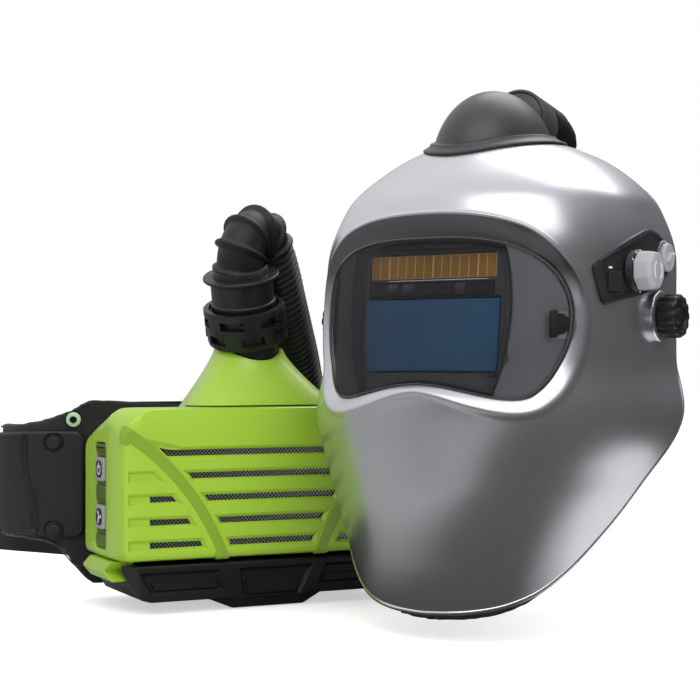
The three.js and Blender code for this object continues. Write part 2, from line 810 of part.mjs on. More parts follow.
function helmetShell() {
  const dome = sheet(32, 15, (u, v, side) => {
    const degrees = (2 * u - 1) * SHELL_REACH;
    const rim = rimHeight(Math.abs(degrees));
    return onShell(degrees, v === 1 ? CROWN : CROWN - (CROWN - rim) * (1 - v) ** 1.5, side ? -SHELL : 0);
  });
  const boss = alongX(disc(16.4, 108, 117.5), 0, PIVOT.y, PIVOT.z);
  const hole = alongX(disc(5, 90, 130, 20), 0, PIVOT.y, PIVOT.z);
  const airHole = place(disc(15, 270, 330), new THREE.Matrix4().makeTranslation(0, 16, 0));
  return cut(
    join(dome, boss, mirrored(boss)),
    hole,
    mirrored(hole),
    airHole,
    visorPatch(0, 1, 16, -16, 3),
  );
}
add(helmet, "helmet_shell", helmetShell(), silver);

// ---------------------------------------------------------------- air duct on the crown
const DUCT_OUTLET = new THREE.Vector3(0, 50, 316);
const DUCT_AXIS = new THREE.Vector3(-0.1, 0.98, -0.1).normalize();

function ellipsoid(centre, radii) {
  return solid(new THREE.SphereGeometry(1, 20, 12).rotateX(Math.PI / 2).scale(...radii).translate(...centre));
}

function ductCap() {
  const collar = aim(disc(22, -36, 0), DUCT_AXIS.toArray(), DUCT_OUTLET.toArray());
  const bore = aim(disc(18, -44, 2), DUCT_AXIS.toArray(), DUCT_OUTLET.toArray());
  const crown = sheet(
    40,
    9,
    (u, v, side) => {
      const height = 210 + (CROWN - 210) * v ** 0.7;
      if (side) return new THREE.Vector3(0, POLE_Y, v === 1 ? CROWN + 0.7 : height);
      return v === 1 ? new THREE.Vector3(0, POLE_Y, CROWN + 0.7) : onShell(u * 360, height, 0.7);
    },
    true,
  );
  const bodies = join(ellipsoid([0, -5, 283], [44, 56, 54]), collar);
  return cut(bodies, ellipsoid([0, -5, 283], [41, 53, 51]), bore, crown);
}
add(helmet, "duct_cap", ductCap(), black);

function airChannel() {
  const wall = (degrees) => shellPatch(degrees - 1.2, degrees + 1.2, 240, 290, -4.4, -13, 1, 5);
  return join(shellPatch(-28, 28, 240, 290, -11, -13, 8, 5), wall(-27), wall(27));
}
add(helmet, "air_channel", airChannel(), darkGrey);

const upperCuff = new THREE.Group();
upperCuff.position.copy(DUCT_OUTLET);
upperCuff.quaternion.setFromUnitVectors(new THREE.Vector3(0, 0, 1), DUCT_AXIS);
helmet.add(upperCuff);
const cuffUpper = [
  [15, -12],
  [17.6, -12],
  [17.6, GAP],
  [21, GAP],
  [21, 6],
  [20, 6],
  [20, 22],
  [15, 22],
];
add(upperCuff, "hose_cuff_upper", turned(cuffUpper, 28), black);

// ---------------------------------------------------------------- visor and welding filter
const lensOpening = shellPatch(41, 47.5, 168.4, 185.6, 12, -12, 1, 1);
add(helmet, "cover_lens", cut(visorPatch(0, 0.985, -1, -2.8), lensOpening), smoke);
add(helmet, "lens_gasket", visorPatch(0.94, 1.04, -3.6, -5.4, 1), rubber);
add(helmet, "lens_tab", shellPatch(41.5, 47, 169, 185, 1.2, -2.4, 1, 2), black);

filterUnit.position.set(0, -85.5, 185);
filterUnit.rotation.x = FILTER_TILT;

function filterFrame() {
  const plate = prism([[-56, 40], [-56, -30], [-52, -40], [52, -40], [56, -30], [56, 40]], "y", -6, -2);
  return cut(plate, block([-48.5, -7, -37.5], [48.5, -1, 8.5]), block([-45, -7, 20.5], [45, -1, 36]));
}
add(filterUnit, "filter_frame", filterFrame(), darkGrey);
const cartridge = cut(block([-54, -1.5, -38], [54, 14, 38]), block([-47, -2, -36], [47, 15, 7]));
add(filterUnit, "filter_cartridge", cartridge, black);
add(filterUnit, "filter_glass", block([-48, -4.5, -37], [48, -2, 8]), blueGlass);
add(filterUnit, "solar_panel", block([-44.5, -4.4, 21], [44.5, -2, 35.5]), amber);

// ---------------------------------------------------------------- controls on the wearer's left side
const SHADE = { y: -33, z: 210 };
const DIAL = { y: 2, z: 220 };

function sidePanel() {
  const outline = [[-63, 213], [-58, 188], [0, 202], [21, 221], [-6, 237], [-38, 228]];
  const plate = shellPatch(40, 104, 180, 245, 3.6, 0.7, 12, 6).intersect(prism(outline, "x", 50, 140));
  return join(
    plate,
    alongX(disc(11, 111.6, 114.2), 0, SHADE.y, SHADE.z),
    alongX(disc(7, 113, 115.8), 0, DIAL.y, DIAL.z),
  );
}
add(helmet, "side_panel", sidePanel(), darkGrey);
add(helmet, "shade_knob", alongX(disc(12, 114.6, 126, 12), 0, SHADE.y, SHADE.z), black);
add(helmet, "sensitivity_dial", alongX(disc(9, 116.2, 120.6), 0, DIAL.y, DIAL.z), lightGrey);
add(helmet, "mode_slider", shellPatch(58.6, 63.4, 196, 207, 6.2, 4, 1, 1), lightGrey);

// A knob with finger flutes, over the end of its bolt.
function tiltKnob() {
  const flutes = Array.from({ length: 8 }, (_, i) =>
    spin(place(disc(3, 120, 132, 12), new THREE.Matrix4().makeTranslation(15, 0, 0)), i * 45),
  );
  return alongX(cut(disc(13.5, 118, 130), ...flutes, disc(4.3, 117, 125, 16)), 0, PIVOT.y, PIVOT.z);
}
const boltProfile = [[0, 95], [7, 95], [7, 99], [4, 99], [4, 124], [0, 124]];
const pivotBolt = alongX(turned(boltProfile, 18), 0, PIVOT.y, PIVOT.z);
add(helmet, "tilt_knob_left", tiltKnob(), black);
add(helmet, "tilt_knob_right", mirrored(tiltKnob()), black);
add(helmet, "pivot_bolt_left", pivotBolt, black);
add(helmet, "pivot_bolt_right", mirrored(pivotBolt), black);

// ---------------------------------------------------------------- headgear
const BAND = { y: 32, halfX: 80, halfY: 82, height: 26 };
const bandHeight = (y) => 190 + (22 * (BAND.y - y)) / BAND.halfY;
const bandHalf = (y) => BAND.halfX * Math.sqrt(1 - ((y - BAND.y) / BAND.halfY) ** 2);

function bandPoint(angle, offset, rise) {
  const [c, s] = [Math.cos(angle), Math.sin(angle)];
  const y = BAND.y - (BAND.halfY + offset) * c;
  return new THREE.Vector3((BAND.halfX + offset) * s, y, bandHeight(BAND.y - BAND.halfY * c) + rise);
}

function headband() {
  const ring = sheet(
    36,
    1,
    (u, v, side) => bandPoint(u * 2 * Math.PI, side ? -1.1 : 1.1, (v - 0.5) * BAND.height),
    true,
  );
  const { y, z } = PIVOT;
  const arm = join(
    block([69, y - 6, z + 8], [102.5, y + 6, z + 18]),
    block([99.4, y - 6, z], [102.5, y + 6, z + 18]),
    alongX(disc(11, 99.4, 102.5), 0, y, z),
  );
  const hole = alongX(disc(4.4, 90, 110, 16), 0, y, z);
  const drilled = cut(arm, hole);
  const rear = BAND.y + BAND.halfY;
  return join(ring, drilled, mirrored(drilled), block([-26, rear - 3, 155], [26, rear + 3, 181]));
}
add(helmet, "headband", headband(), darkGrey);

// A strap arching over the head, its feet outside the headband.
function crownStrap(y, top) {
  const foot = bandHeight(y) + BAND.height / 2;
  return sheet(24, 1, (u, v, side) => {
    const across = y + (v - 0.5) * 16;
    const thickness = side ? 0 : 1.6;
    const half = bandHalf(across) + 1.7 + thickness;
    const along = -0.12 + 1.24 * u;
    const turn = Math.PI * Math.min(1, Math.max(0, along));
    const drop = Math.max(0, -along, along - 1) * 130;
    const rise = (top - foot + thickness) * Math.sin(turn);
    return new THREE.Vector3(half * Math.cos(turn), across, foot + rise - drop);
  });
}
add(helmet, "crown_strap_front", crownStrap(12, 275), darkGrey);
add(helmet, "crown_strap_rear", crownStrap(45, 275), darkGrey);

const sweatband = sheet(18, 1, (u, v, side) =>
  bandPoint((2 * u - 1) * THREE.MathUtils.degToRad(56), side ? -6 : -1.6, (v - 0.5) * 24),
);
add(helmet, "sweatband", sweatband, fabric);

function ratchetKnob() {
  const flutes = Array.from({ length: 12 }, (_, i) =>
    spin(place(disc(2.4, 3, 16, 10), new THREE.Matrix4().makeTranslation(20.6, 0, 0)), i * 30),
  );
  const rear = BAND.y + BAND.halfY + 3 + GAP;
  return aim(cut(disc(20, 0, 13), ...flutes), [0, 1, 0], [0, rear, 168]);
}
add(helmet, "ratchet_knob", ratchetKnob(), black);

// ---------------------------------------------------------------- face seal
// A cloth skirt that hangs inside the chin and draws in towards the neck.
const SEAL_DROP = 16.3;
const faceSeal = sheet(24, 5, (u, v, side) => {
  const degrees = (2 * u - 1) * 80;
  const rim = rimHeight(Math.abs(degrees));
  const z = rim - SEAL_DROP + (46 + SEAL_DROP) * v;
  const inward = 5 + 15 * (1 - v) ** 1.3 + (side ? 1.8 : 0);
  return onShell(degrees, Math.max(z, rim), -inward).setZ(z);
});
add(helmet, "face_seal", faceSeal, fabric);

// ---------------------------------------------------------------- origin
assembly.updateMatrixWorld(true);
const extent = new THREE.Box3();
assembly.traverse((piece) => {
  if (piece.isMesh && piece.name !== "breathing_hose") extent.expandByObject(piece, true);
});
const middle = extent.getCenter(new THREE.Vector3());
assembly.position.set(-middle.x, -middle.y, -extent.min.z);

export default assembly;
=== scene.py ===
"""Looks of a belt-worn powered air respirator: blower unit, hip belt, breathing hose and helmet.

Shapes are drawn in millimetres in the blower's or the helmet's own frame and placed by a matrix.
"""
import math

import bmesh
import bpy
import numpy as np
from mathutils import Matrix, Vector


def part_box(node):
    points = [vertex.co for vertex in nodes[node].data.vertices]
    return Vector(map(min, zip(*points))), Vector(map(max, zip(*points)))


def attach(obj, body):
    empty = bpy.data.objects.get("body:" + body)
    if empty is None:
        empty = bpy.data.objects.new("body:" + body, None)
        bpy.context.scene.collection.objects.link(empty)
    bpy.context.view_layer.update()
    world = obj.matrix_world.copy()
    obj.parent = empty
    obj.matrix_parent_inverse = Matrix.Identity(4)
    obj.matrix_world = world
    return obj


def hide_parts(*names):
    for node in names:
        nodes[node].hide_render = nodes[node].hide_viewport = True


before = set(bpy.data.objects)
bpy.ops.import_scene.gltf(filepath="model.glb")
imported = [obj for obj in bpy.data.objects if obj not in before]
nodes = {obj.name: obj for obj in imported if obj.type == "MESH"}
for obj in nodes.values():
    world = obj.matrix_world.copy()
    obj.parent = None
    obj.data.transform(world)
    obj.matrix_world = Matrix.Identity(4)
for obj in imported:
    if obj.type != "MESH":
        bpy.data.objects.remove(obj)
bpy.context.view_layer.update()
scene = bpy.context.scene

# ---------------------------------------------------------------- frames
MM = 0.001
housing_low, housing_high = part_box("rear_housing")
BACK = 45
SHIFT = Vector(((housing_low.x + housing_high.x) / 2, housing_high.y - BACK * MM, 0))
WORK = Matrix.Translation(SHIFT) @ Matrix.Scale(MM, 4)
HELMET = WORK @ Matrix.Translation((113, -161.5, 16.6)) @ Matrix.Rotation(math.radians(-59), 4, "Z")
BALL = Vector((0, 0, 178))
OUTLET_AXIS = Vector((-0.213, -0.277, 0.937)).normalized()
UP = Vector((0, 0, 1))


def along(place, point, axis):
    """A frame at a point of another, its Z along the axis."""
    turn = UP.rotation_difference(Vector(axis).normalized()).to_matrix().to_4x4()
    return place @ Matrix.Translation(point) @ turn


OUTLET = along(WORK, BALL, OUTLET_AXIS)
DUCT_AXIS = (-0.1, 0.98, -0.1)
DUCT = along(HELMET, (0, 50, 316), DUCT_AXIS)
FILTER = HELMET @ Matrix.Translation((0, -85.5, 185)) @ Matrix.Rotation(math.radians(-6), 4, "X")

# ---------------------------------------------------------------- camera
camera = bpy.data.objects.new("camera", bpy.data.cameras.new("camera"))
camera.data.lens = 82.3
camera.data.shift_y = 15 / 700
camera.location = WORK @ Vector((-442.1, -1074.3, 169.3))
camera.rotation_euler = (math.radians(90), 0, math.radians(-26))
scene.collection.objects.link(camera)
scene.camera = camera


# ---------------------------------------------------------------- materials
def add(tree, kind, sockets=None, **settings):
    """A shader node with its settings; each socket gets a link or a plain value."""
    node = tree.nodes.new("ShaderNode" + kind)
    for key, value in settings.items():
        setattr(node, key, value)
    feed(tree, node, sockets or {})
    return node


def feed(tree, node, sockets):
    for key, value in sockets.items():
        if isinstance(value, bpy.types.NodeSocket):
            tree.links.new(value, node.inputs[key])
        else:
            node.inputs[key].default_value = value


def coordinates(tree):
    return add(tree, "TexCoord").outputs["Object"]


def noise(tree, where, scale, detail):
    return add(tree, "TexNoise", {"Scale": scale, "Detail": detail, "Vector": where}).outputs["Fac"]


def ranged(tree, value, low, high, start=0.3, end=0.7):
    sockets = {"From Min": start, "From Max": end, "To Min": low, "To Max": high, "Value": value}
    return add(tree, "MapRange", sockets).outputs["Result"]


def ramp(tree, value, stops):
    node = add(tree, "ValToRGB", {"Fac": value})
    elements = node.color_ramp.elements
    while len(elements) < len(stops):
        elements.new(0.5)
    for element, (position, color) in zip(elements, stops):
        element.position = position
        element.color = (*color, 1)
    return node.outputs["Color"]


def bump(tree, shader, height, strength, distance):
    node = add(tree, "Bump", {"Strength": strength, "Distance": distance * MM, "Height": height})
    feed(tree, shader, {"Normal": node.outputs["Normal"]})


def color_mix(tree, share, first, second):
    """One colour or the other by a share from 0 to 1."""
    return add(tree, "Mix", {"Factor": share, "A": first, "B": second}, data_type="RGBA").outputs["Result"]


def shader_material(name):
    material = bpy.data.materials.new(name)
    material.use_nodes = True
    return material, material.node_tree, material.node_tree.nodes["Principled BSDF"]


def shade(color, factor):
    return tuple(min(1.0, c * factor) for c in color)


def moulded(name, color, roughness, grain=1400, depth=0.05, variation=0.12, coat=0.0, metallic=0.0):
    """Moulded plastic or metal: a little uneven in colour and gloss, with a fine grain unless depth is 0."""
    material, tree, shader = shader_material(name)
    where = coordinates(tree)
    stops = [(0.3, shade(color, 1 - variation)), (0.7, shade(color, 1 + variation))]
    feed(tree, shader, {
        "Base Color": ramp(tree, noise(tree, where, 16, 2), stops),
        "Roughness": ranged(tree, noise(tree, where, 45, 2), roughness * 0.94, roughness * 1.06),
        "Metallic": metallic,
        "Coat Weight": coat,
        "Coat Roughness": 0.12,
    })
    if depth:
        bump(tree, shader, noise(tree, where, grain, 2), 0.3, depth)
    return material


def woven(name, color, pitch, roughness=0.9, fleck=2.2):
    """Coarse cloth: crossing threads with pale flecks."""
    material, tree, shader = shader_material(name)
    where = coordinates(tree)
    sockets = {"Scale": 1 / (pitch * MM) / 3.2, "Distortion": 1.2, "Detail": 1, "Vector": where}
    waves = [add(tree, "TexWave", sockets, bands_direction=way).outputs["Fac"] for way in ("X", "Z")]
    cross = add(tree, "Math", dict(enumerate(waves)), operation="MULTIPLY")
    flecks = noise(tree, where, 900, 2)
    stops = [(0.35, shade(color, 0.6)), (0.6, color), (0.78, shade(color, fleck))]
    feed(tree, shader, {
        "Base Color": ramp(tree, flecks, stops),
        "Roughness": ranged(tree, flecks, roughness - 0.08, roughness + 0.05),
        "Sheen Weight": 0.25,
    })
    bump(tree, shader, cross.outputs["Value"], 0.6, 0.25)
    return material


def perforated(name, pitch):
    """Punched steel sheet: round black holes in staggered rows."""
    material, tree, shader = shader_material(name)
    staggered = add(tree, "Mapping", {"Rotation": (0, math.radians(45), 0), "Vector": coordinates(tree)})
    flat = add(tree, "VectorMath", {0: staggered.outputs["Vector"], 1: (1, 0, 1)}, operation="MULTIPLY")
    sockets = {"Scale": 1 / (pitch * MM), "Randomness": 0, "Vector": flat.outputs["Vector"]}
    away = add(tree, "TexVoronoi", sockets).outputs["Distance"]
    feed(tree, shader, {
        "Base Color": ramp(tree, away, [(0.40, (0.003, 0.003, 0.003)), (0.47, (0.62, 0.63, 0.64))]),
        "Metallic": ranged(tree, away, 0.0, 0.9, 0.36, 0.42),
        "Roughness": 0.34,
    })
    bump(tree, shader, away, 0.5, 0.3)
    return material


def see_through(name, color, clear):
    """A clear pane: shiny at a slant, tinted when seen straight on."""
    material, tree, shader = shader_material(name)
    feed(tree, shader, {"Base Color": (*color, 1), "Roughness": 0.03, "IOR": 1.5})
    through = add(tree, "BsdfTransparent", {"Color": (*clear, 1)})
    slant = add(tree, "LayerWeight", {"Blend": 0.25})
    share = ranged(tree, slant.outputs["Fresnel"], 0.075, 0.8, 0.05, 0.9)
    mix = add(tree, "MixShader", {"Fac": share, 1: through.outputs["BSDF"], 2: shader.outputs["BSDF"]})
    feed(tree, tree.nodes["Material Output"], {"Surface": mix.outputs["Shader"]})
    return material


LIME = (0.335, 0.545, 0.036)
lime = moulded("lime_plastic", LIME, 0.34, grain=1800, depth=0.008, variation=0.02, coat=0.2)
lime_deep = moulded("lime_plastic_deep", shade(LIME, 0.22), 0.42, grain=900, depth=0.03, variation=0.06)
# The band's lime is darker to paint in shade: the band's face is lit less than the faces beside it.
lime_band_painted_shade = moulded("lime_plastic_band_painted_shade", shade(LIME, 0.66), 0.34, 1800, 0.008, 0.02, coat=0.2)
black = moulded("black_plastic", (0.0095, 0.0095, 0.0105), 0.42, grain=1700, depth=0.03, variation=0.15)
soft_black = moulded("soft_black_plastic", (0.014, 0.014, 0.016), 0.46, grain=1700, depth=0.07)
charcoal = moulded("charcoal_plastic", (0.045, 0.045, 0.050), 0.46, grain=1600, depth=0.06)
wing_grey = moulded("wing_plastic", (0.0105, 0.011, 0.012), 0.5, grain=1800, depth=0.08, variation=0.18)
hose_rubber = moulded("hose_rubber", (0.0042, 0.0042, 0.0045), 0.52, grain=700, depth=0.06, variation=0.2)
silver = moulded("silver_shell", (0.57, 0.57, 0.60), 0.30, 2600, 0, 0.025, coat=0.3, metallic=0.92)
silver_edge = moulded("silver_edge", (0.70, 0.70, 0.73), 0.2, 2600, 0, 0.02, metallic=0.95)
steel = moulded("steel", (0.62, 0.62, 0.63), 0.28, grain=3000, depth=0.01, variation=0.05, metallic=1.0)
knob_grey = moulded("light_grey_plastic", (0.33, 0.33, 0.345), 0.40, grain=1500, depth=0.04, variation=0.05)
pale_print = moulded("pale_print", (0.72, 0.72, 0.73), 0.55, variation=0.05)
dark_print = moulded("dark_print", (0.012, 0.012, 0.013), 0.5, variation=0.1)
pad_cloth = woven("pad_cloth", (0.013, 0.013, 0.014), 1.1)
strap_cloth = woven("strap_cloth", (0.009, 0.009, 0.0095), 1.6, roughness=0.8, fleck=1.6)
seal_cloth = woven("seal_cloth", (0.016, 0.0165, 0.018), 0.9, roughness=0.88, fleck=1.5)
mesh_steel = perforated("perforated_steel", 1.9)
amber_cell = moulded("amber_cell", (0.30, 0.135, 0.003), 0.3, 400, 0.01, 0.16, coat=0.3)
cell_line = moulded("cell_line", (0.62, 0.50, 0.30), 0.3, variation=0.05, metallic=0.4)
blue_glass = moulded("filter_blue", (0.012, 0.078, 0.170), 0.16, 200, 0, 0.08, coat=0.6)
sensor_glass = moulded("sensor_glass", (0.030, 0.010, 0.018), 0.12, 300, 0.01, 0.2, coat=0.6)
smoke = see_through("smoked_lens", (0.045, 0.045, 0.048), (0.93, 0.93, 0.94))
paper = woven("filter_paper", (0.62, 0.62, 0.60), 0.8, roughness=0.95, fleck=1.2)
board_green = moulded("circuit_board_green", (0.02, 0.11, 0.05), 0.4, variation=0.15)
pale_green = moulded("pale_green_ring", (0.42, 0.60, 0.36), 0.35, variation=0.04)


# ---------------------------------------------------------------- mesh tools
def finish_piece(obj, look, body, replaces=(), angle=35):
    """Gives a piece its look and body, smooths its shading and hides the nodes it replaces; a look of None leaves
    the looks that it has.
    """
    if look:
        obj.data.materials.clear()
        obj.data.materials.append(look)
    obj.data.shade_smooth()
    obj.data.set_sharp_from_angle(angle=math.radians(angle))
    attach(obj, body)
    if replaces:
        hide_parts(*replaces)
    return obj


def make(name, shape, place=WORK, kinds=None):
    """An object from a shape; kinds gives each face's place in its list of looks."""
    points, faces = shape
    mesh = bpy.data.meshes.new(name)
    mesh.from_pydata([place @ Vector(p) for p in points], [], faces)
    if kinds:
        mesh.polygons.foreach_set("material_index", kinds)
    mesh.validate()
    work = bmesh.new()
    work.from_mesh(mesh)
    bmesh.ops.remove_doubles(work, verts=work.verts, dist=1e-7)
    bmesh.ops.recalc_face_normals(work, faces=work.faces)
    work.to_mesh(mesh)
    work.free()
    obj = bpy.data.objects.new(name, mesh)
    scene.collection.objects.link(obj)
    return obj


def around(count):
    """Angles spread evenly round a full turn."""
    return np.linspace(0, 2 * math.pi, count, endpoint=False)


def circle(radius, count, x=0.0, y=0.0):
    return [(x + radius * math.cos(a), y + radius * math.sin(a)) for a in around(count)]


def settle(obj):
    """Applies the modifiers to the mesh."""
    graph = bpy.context.evaluated_depsgraph_get()
    made = bpy.data.meshes.new_from_object(obj.evaluated_get(graph))
    obj.modifiers.clear()
    obj.data = made
    return obj


def modify(obj, kind, **settings):
    """Applies one modifier with its settings."""
    modifier = obj.modifiers.new(kind.lower(), kind)
    for key, value in settings.items():
        setattr(modifier, key, value)
    return settle(obj)


def bevelled(obj, width, segments=2, angle=30):
    limit = math.radians(angle)
    return modify(obj, "BEVEL", width=width * MM, segments=segments, limit_method="ANGLE", angle_limit=limit)


def carve(obj, *tools, operation="DIFFERENCE"):
    """Cuts the tools out of the piece, or joins them to it, and removes them."""
    for tool in tools:
        modifier = obj.modifiers.new("boolean", "BOOLEAN")
        modifier.operation = operation
        modifier.solver = "EXACT"
        modifier.object = tool
    settle(obj)
    for tool in tools:
        bpy.data.objects.remove(tool)
    return obj


def merge(*shapes):
    """Several shapes as one list of points and faces."""
    points, faces = [], []
    for shape_points, shape_faces in shapes:
        start = len(points)
        points += list(shape_points)
        faces += [tuple(start + i for i in face) for face in shape_faces]
    return points, faces


def moved(shape, matrix):
    return [matrix @ Vector(p) for p in shape[0]], shape[1]


def loft(rings, closed=True, caps=True):
    """Faces between rings of points; each ring closes on itself unless closed is False."""
    count = len(rings[0])
    points = [Vector(p) for ring in rings for p in ring]
    faces = []
    steps = count if closed else count - 1
    for i in range(len(rings) - 1):
        for j in range(steps):
            k = (j + 1) % count
            faces.append((i * count + j, i * count + k, (i + 1) * count + k, (i + 1) * count + j))
    if caps:
        faces.append(tuple(range(count))[::-1])
        faces.append(tuple((len(rings) - 1) * count + j for j in range(count)))
    return points, faces


def turned(profile, segments=64):
    """A closed profile of (radius, height) points turned round Z."""
    rings = []
    for i in range(segments):
        angle = 2 * math.pi * i / segments
        rings.append([(r * math.cos(angle), r * math.sin(angle), h) for r, h in profile])
    rings.append(rings[0])
    return loft(rings, closed=True, caps=False)


def stack(normal, *levels):
    """Plane outlines drawn across the two other axes, joined at their places along the normal."""
    order = {"x": lambda a, b, t: (t, a, b), "y": lambda a, b, t: (a, t, b), "z": lambda a, b, t: (a, b, t)}
    put = order[normal]
    return loft([[put(a, b, t) for a, b in outline] for t, outline in levels])


def prism(outline, normal, low, high):
    return stack(normal, (low, outline), (high, outline))


def block(low, high):
    (x0, y0, z0), (x1, y1, z1) = low, high
    return prism([(x0, y0), (x1, y0), (x1, y1), (x0, y1)], "z", z0, z1)


def rounded(width, height, radius, x=0.0, y=0.0, steps=5):
    points = []
    for corner, (sx, sy) in enumerate([(1, 1), (-1, 1), (-1, -1), (1, -1)]):
        centre = (x + sx * (width / 2 - radius), y + sy * (height / 2 - radius))
        for i in range(steps + 1):
            angle = math.pi / 2 * (corner + i / steps)
            points.append((centre[0] + radius * math.cos(angle), centre[1] + radius * math.sin(angle)))
    return points


def sheet(columns, rows, surface, ring=False):
    """A closed sheet from surface(u, v, side), where side 0 is its outer face and 1 its inner one."""
    count = columns if ring else columns + 1
    points = [
        surface(i / columns, j / rows, side)
        for side in (0, 1)
        for i in range(count)
        for j in range(rows + 1)
    ]
    return points, sheet_faces(columns, rows, ring)


def sheet_faces(columns, rows, ring=False):
    """The faces of a sheet whose outer points, column by column, come before its inner ones."""
    count = columns if ring else columns + 1
    grid = lambda i, j, side: (side * count + i % count) * (rows + 1) + j
    faces = []
    for i in range(columns):
        for j in range(rows):
            faces.append((grid(i, j, 0), grid(i + 1, j, 0), grid(i + 1, j + 1, 0), grid(i, j + 1, 0)))
            faces.append((grid(i, j + 1, 1), grid(i + 1, j + 1, 1), grid(i + 1, j, 1), grid(i, j, 1)))
        faces.append((grid(i, 0, 1), grid(i + 1, 0, 1), grid(i + 1, 0, 0), grid(i, 0, 0)))
        faces.append((grid(i, rows, 0), grid(i + 1, rows, 0), grid(i + 1, rows, 1), grid(i, rows, 1)))
    if not ring:
        for j in range(rows):
            faces.append((grid(0, j, 0), grid(0, j + 1, 0), grid(0, j + 1, 1), grid(0, j, 1)))
            faces.append(
                (grid(columns, j, 1), grid(columns, j + 1, 1), grid(columns, j + 1, 0), grid(columns, j, 0))
            )
    return faces


def hull(points):
    """The convex body round some points, its flat faces whole."""
    work = bmesh.new()
    for point in points:
        work.verts.new(point)
    found = bmesh.ops.convex_hull(work, input=work.verts)
    bmesh.ops.delete(work, geom=list({*found["geom_interior"], *found["geom_unused"]}), context="VERTS")
    bmesh.ops.dissolve_limit(work, angle_limit=0.01, verts=work.verts, edges=work.edges)
    work.verts.index_update()
    shape = [v.co.copy() for v in work.verts], [tuple(v.index for v in f.verts) for f in work.faces]
    work.free()
    return shape


def smooth_steps(edge0, edge1, value):
    t = np.clip((value - edge0) / (edge1 - edge0), 0, 1)
    return t * t * (3 - 2 * t)


def curve_table(rows):
    """Monotone cubic interpolation through (position, value) rows."""
    xs, ys = np.array(rows, float).T
    widths = np.diff(xs)
    slopes = np.diff(ys) / widths
    inner = slopes[:-1] * slopes[1:]
    total = slopes[:-1] + slopes[1:]
    middle = np.where(inner > 0, 2 * inner / np.where(total == 0, 1, total), 0)
    tangents = np.concatenate([slopes[:1], middle, slopes[-1:]])

    def value(x):
        k = np.clip(np.searchsorted(xs, x, side="right") - 1, 0, len(xs) - 2)
        t = np.clip((x - xs[k]) / widths[k], 0, 1)
        start = ys[k] * (2 * t**3 - 3 * t**2 + 1) + ys[k + 1] * (3 * t**2 - 2 * t**3)
        return start + widths[k] * (tangents[k] * (t**3 - 2 * t**2 + t) + tangents[k + 1] * (t**3 - t**2))

    return value


# ---------------------------------------------------------------- breathing hose
HOSE_ROUTE = [
    (-12.8, -16.6, 234.1),
    (-13.4, -17.4, 236.9),
    (-14, -18.7, 244),
    (-12, -18, 253),
    (-6, -14, 261),
    (2, -8, 265),
    (9, -2, 264),
    (14, 2.5, 260),
    (22, 11, 248),
    (31, 21, 233.5),
    (39.5, 31.5, 218),
    (53, 49, 196.5),
    (68, 68, 171),
    (83, 88, 136),
    (94, 105, 92),
    (107, 122, 50),
    (128, 138, 26),
    (156, 148, 20),
    (183, 141, 20),
    (202, 116, 20),
    (209, 82, 20),
    (206, 46, 20),
    (197, 14, 23),
    (186, -12, 39),
    (179, -30, 72),
    (177.5, -39, 116),
    (181, -41.5, 166),
    (183, -45, 216),
    (186, -52, 254),
    (190.5, -63.5, 284),
    (194, -79, 305),
    (193.5, -95, 318.5),
    (188.2, -108.5, 326.5),
    (180.9, -117.1, 329.4),
    (173.7, -122.5, 330.4),
]


def smooth_path(route, step):
    """Points a step apart on the centripetal curve through the route, and how far along each lies."""
    knots = [Vector(p) for p in route]
    knots = [2 * knots[0] - knots[1], *knots, 2 * knots[-1] - knots[-2]]
    dense = []
    for before, start, end, after in zip(knots, knots[1:], knots[2:], knots[3:]):
        a, b, c = (max(1e-4, (q - p).length) ** 0.5 for p, q in ((before, start), (start, end), (end, after)))
        leaving = ((start - before) / a - (end - before) / (a + b) + (end - start) / b) * b
        arriving = ((end - start) / b - (after - start) / (b + c) + (after - end) / c) * b
        for i in range(60):
            t = i / 60
            dense.append(
                start * (2 * t**3 - 3 * t**2 + 1)
                + leaving * (t**3 - 2 * t**2 + t)
                + end * (3 * t**2 - 2 * t**3)
                + arriving * (t**3 - t**2)
            )
    dense.append(knots[-2])
    dense = np.array(dense)
    reach = np.concatenate([[0], np.cumsum(np.linalg.norm(np.diff(dense, axis=0), axis=1))])
    places = np.linspace(0, reach[-1], int(reach[-1] / step) + 1)
    return np.stack([np.interp(places, reach, dense[:, k]) for k in range(3)], axis=1), places


def hose_radius(distance, angle):
    """Wide helical ribs on the first stretch, close rings after it."""
    turn = (distance / 12.5 + angle / (2 * math.pi)) % 1
    wide = 16.6 + 3.4 * np.exp(-(((turn - 0.5) * 12.5 / 1.35) ** 4))
    dense = 16.2 + 2.7 * (0.5 + 0.5 * np.cos(2 * math.pi * (distance / 5.2 + angle / (2 * math.pi)))) ** 1.6
    share = smooth_steps(62, 74, distance)
    return wide * (1 - share) + dense * share


def breathing_hose():
    path, places = smooth_path(HOSE_ROUTE, 0.65)
    tangents = np.gradient(path, axis=0)
    tangents /= np.linalg.norm(tangents, axis=1)[:, None]
    side = np.cross(tangents[0], (0, 0, 1.0))
    side /= np.linalg.norm(side)
    angles = around(28)
    rings = []
    for point, tangent, distance in zip(path, tangents, places):
        side = side - tangent * np.dot(side, tangent)
        side /= np.linalg.norm(side)
        other = np.cross(tangent, side)
        radius = hose_radius(distance, angles)
        if distance < 1.5 or distance > places[-1] - 1.5:
            radius = np.full_like(angles, 17.4)
        ring = point + (np.outer(np.cos(angles), side) + np.outer(np.sin(angles), other)) * radius[:, None]
        rings.append([Vector(p) for p in ring])
    hose = make("ribbed_hose", loft(rings))
    finish_piece(hose, hose_rubber, "unit", ["breathing_hose"], angle=60)


breathing_hose()


# ---------------------------------------------------------------- shared piece makers
def weighted(obj):
    """Large flat faces keep their own normal; the small ones round their edges bend to them."""
    return modify(obj, "WEIGHTED_NORMAL", keep_sharp=True, weight=80)


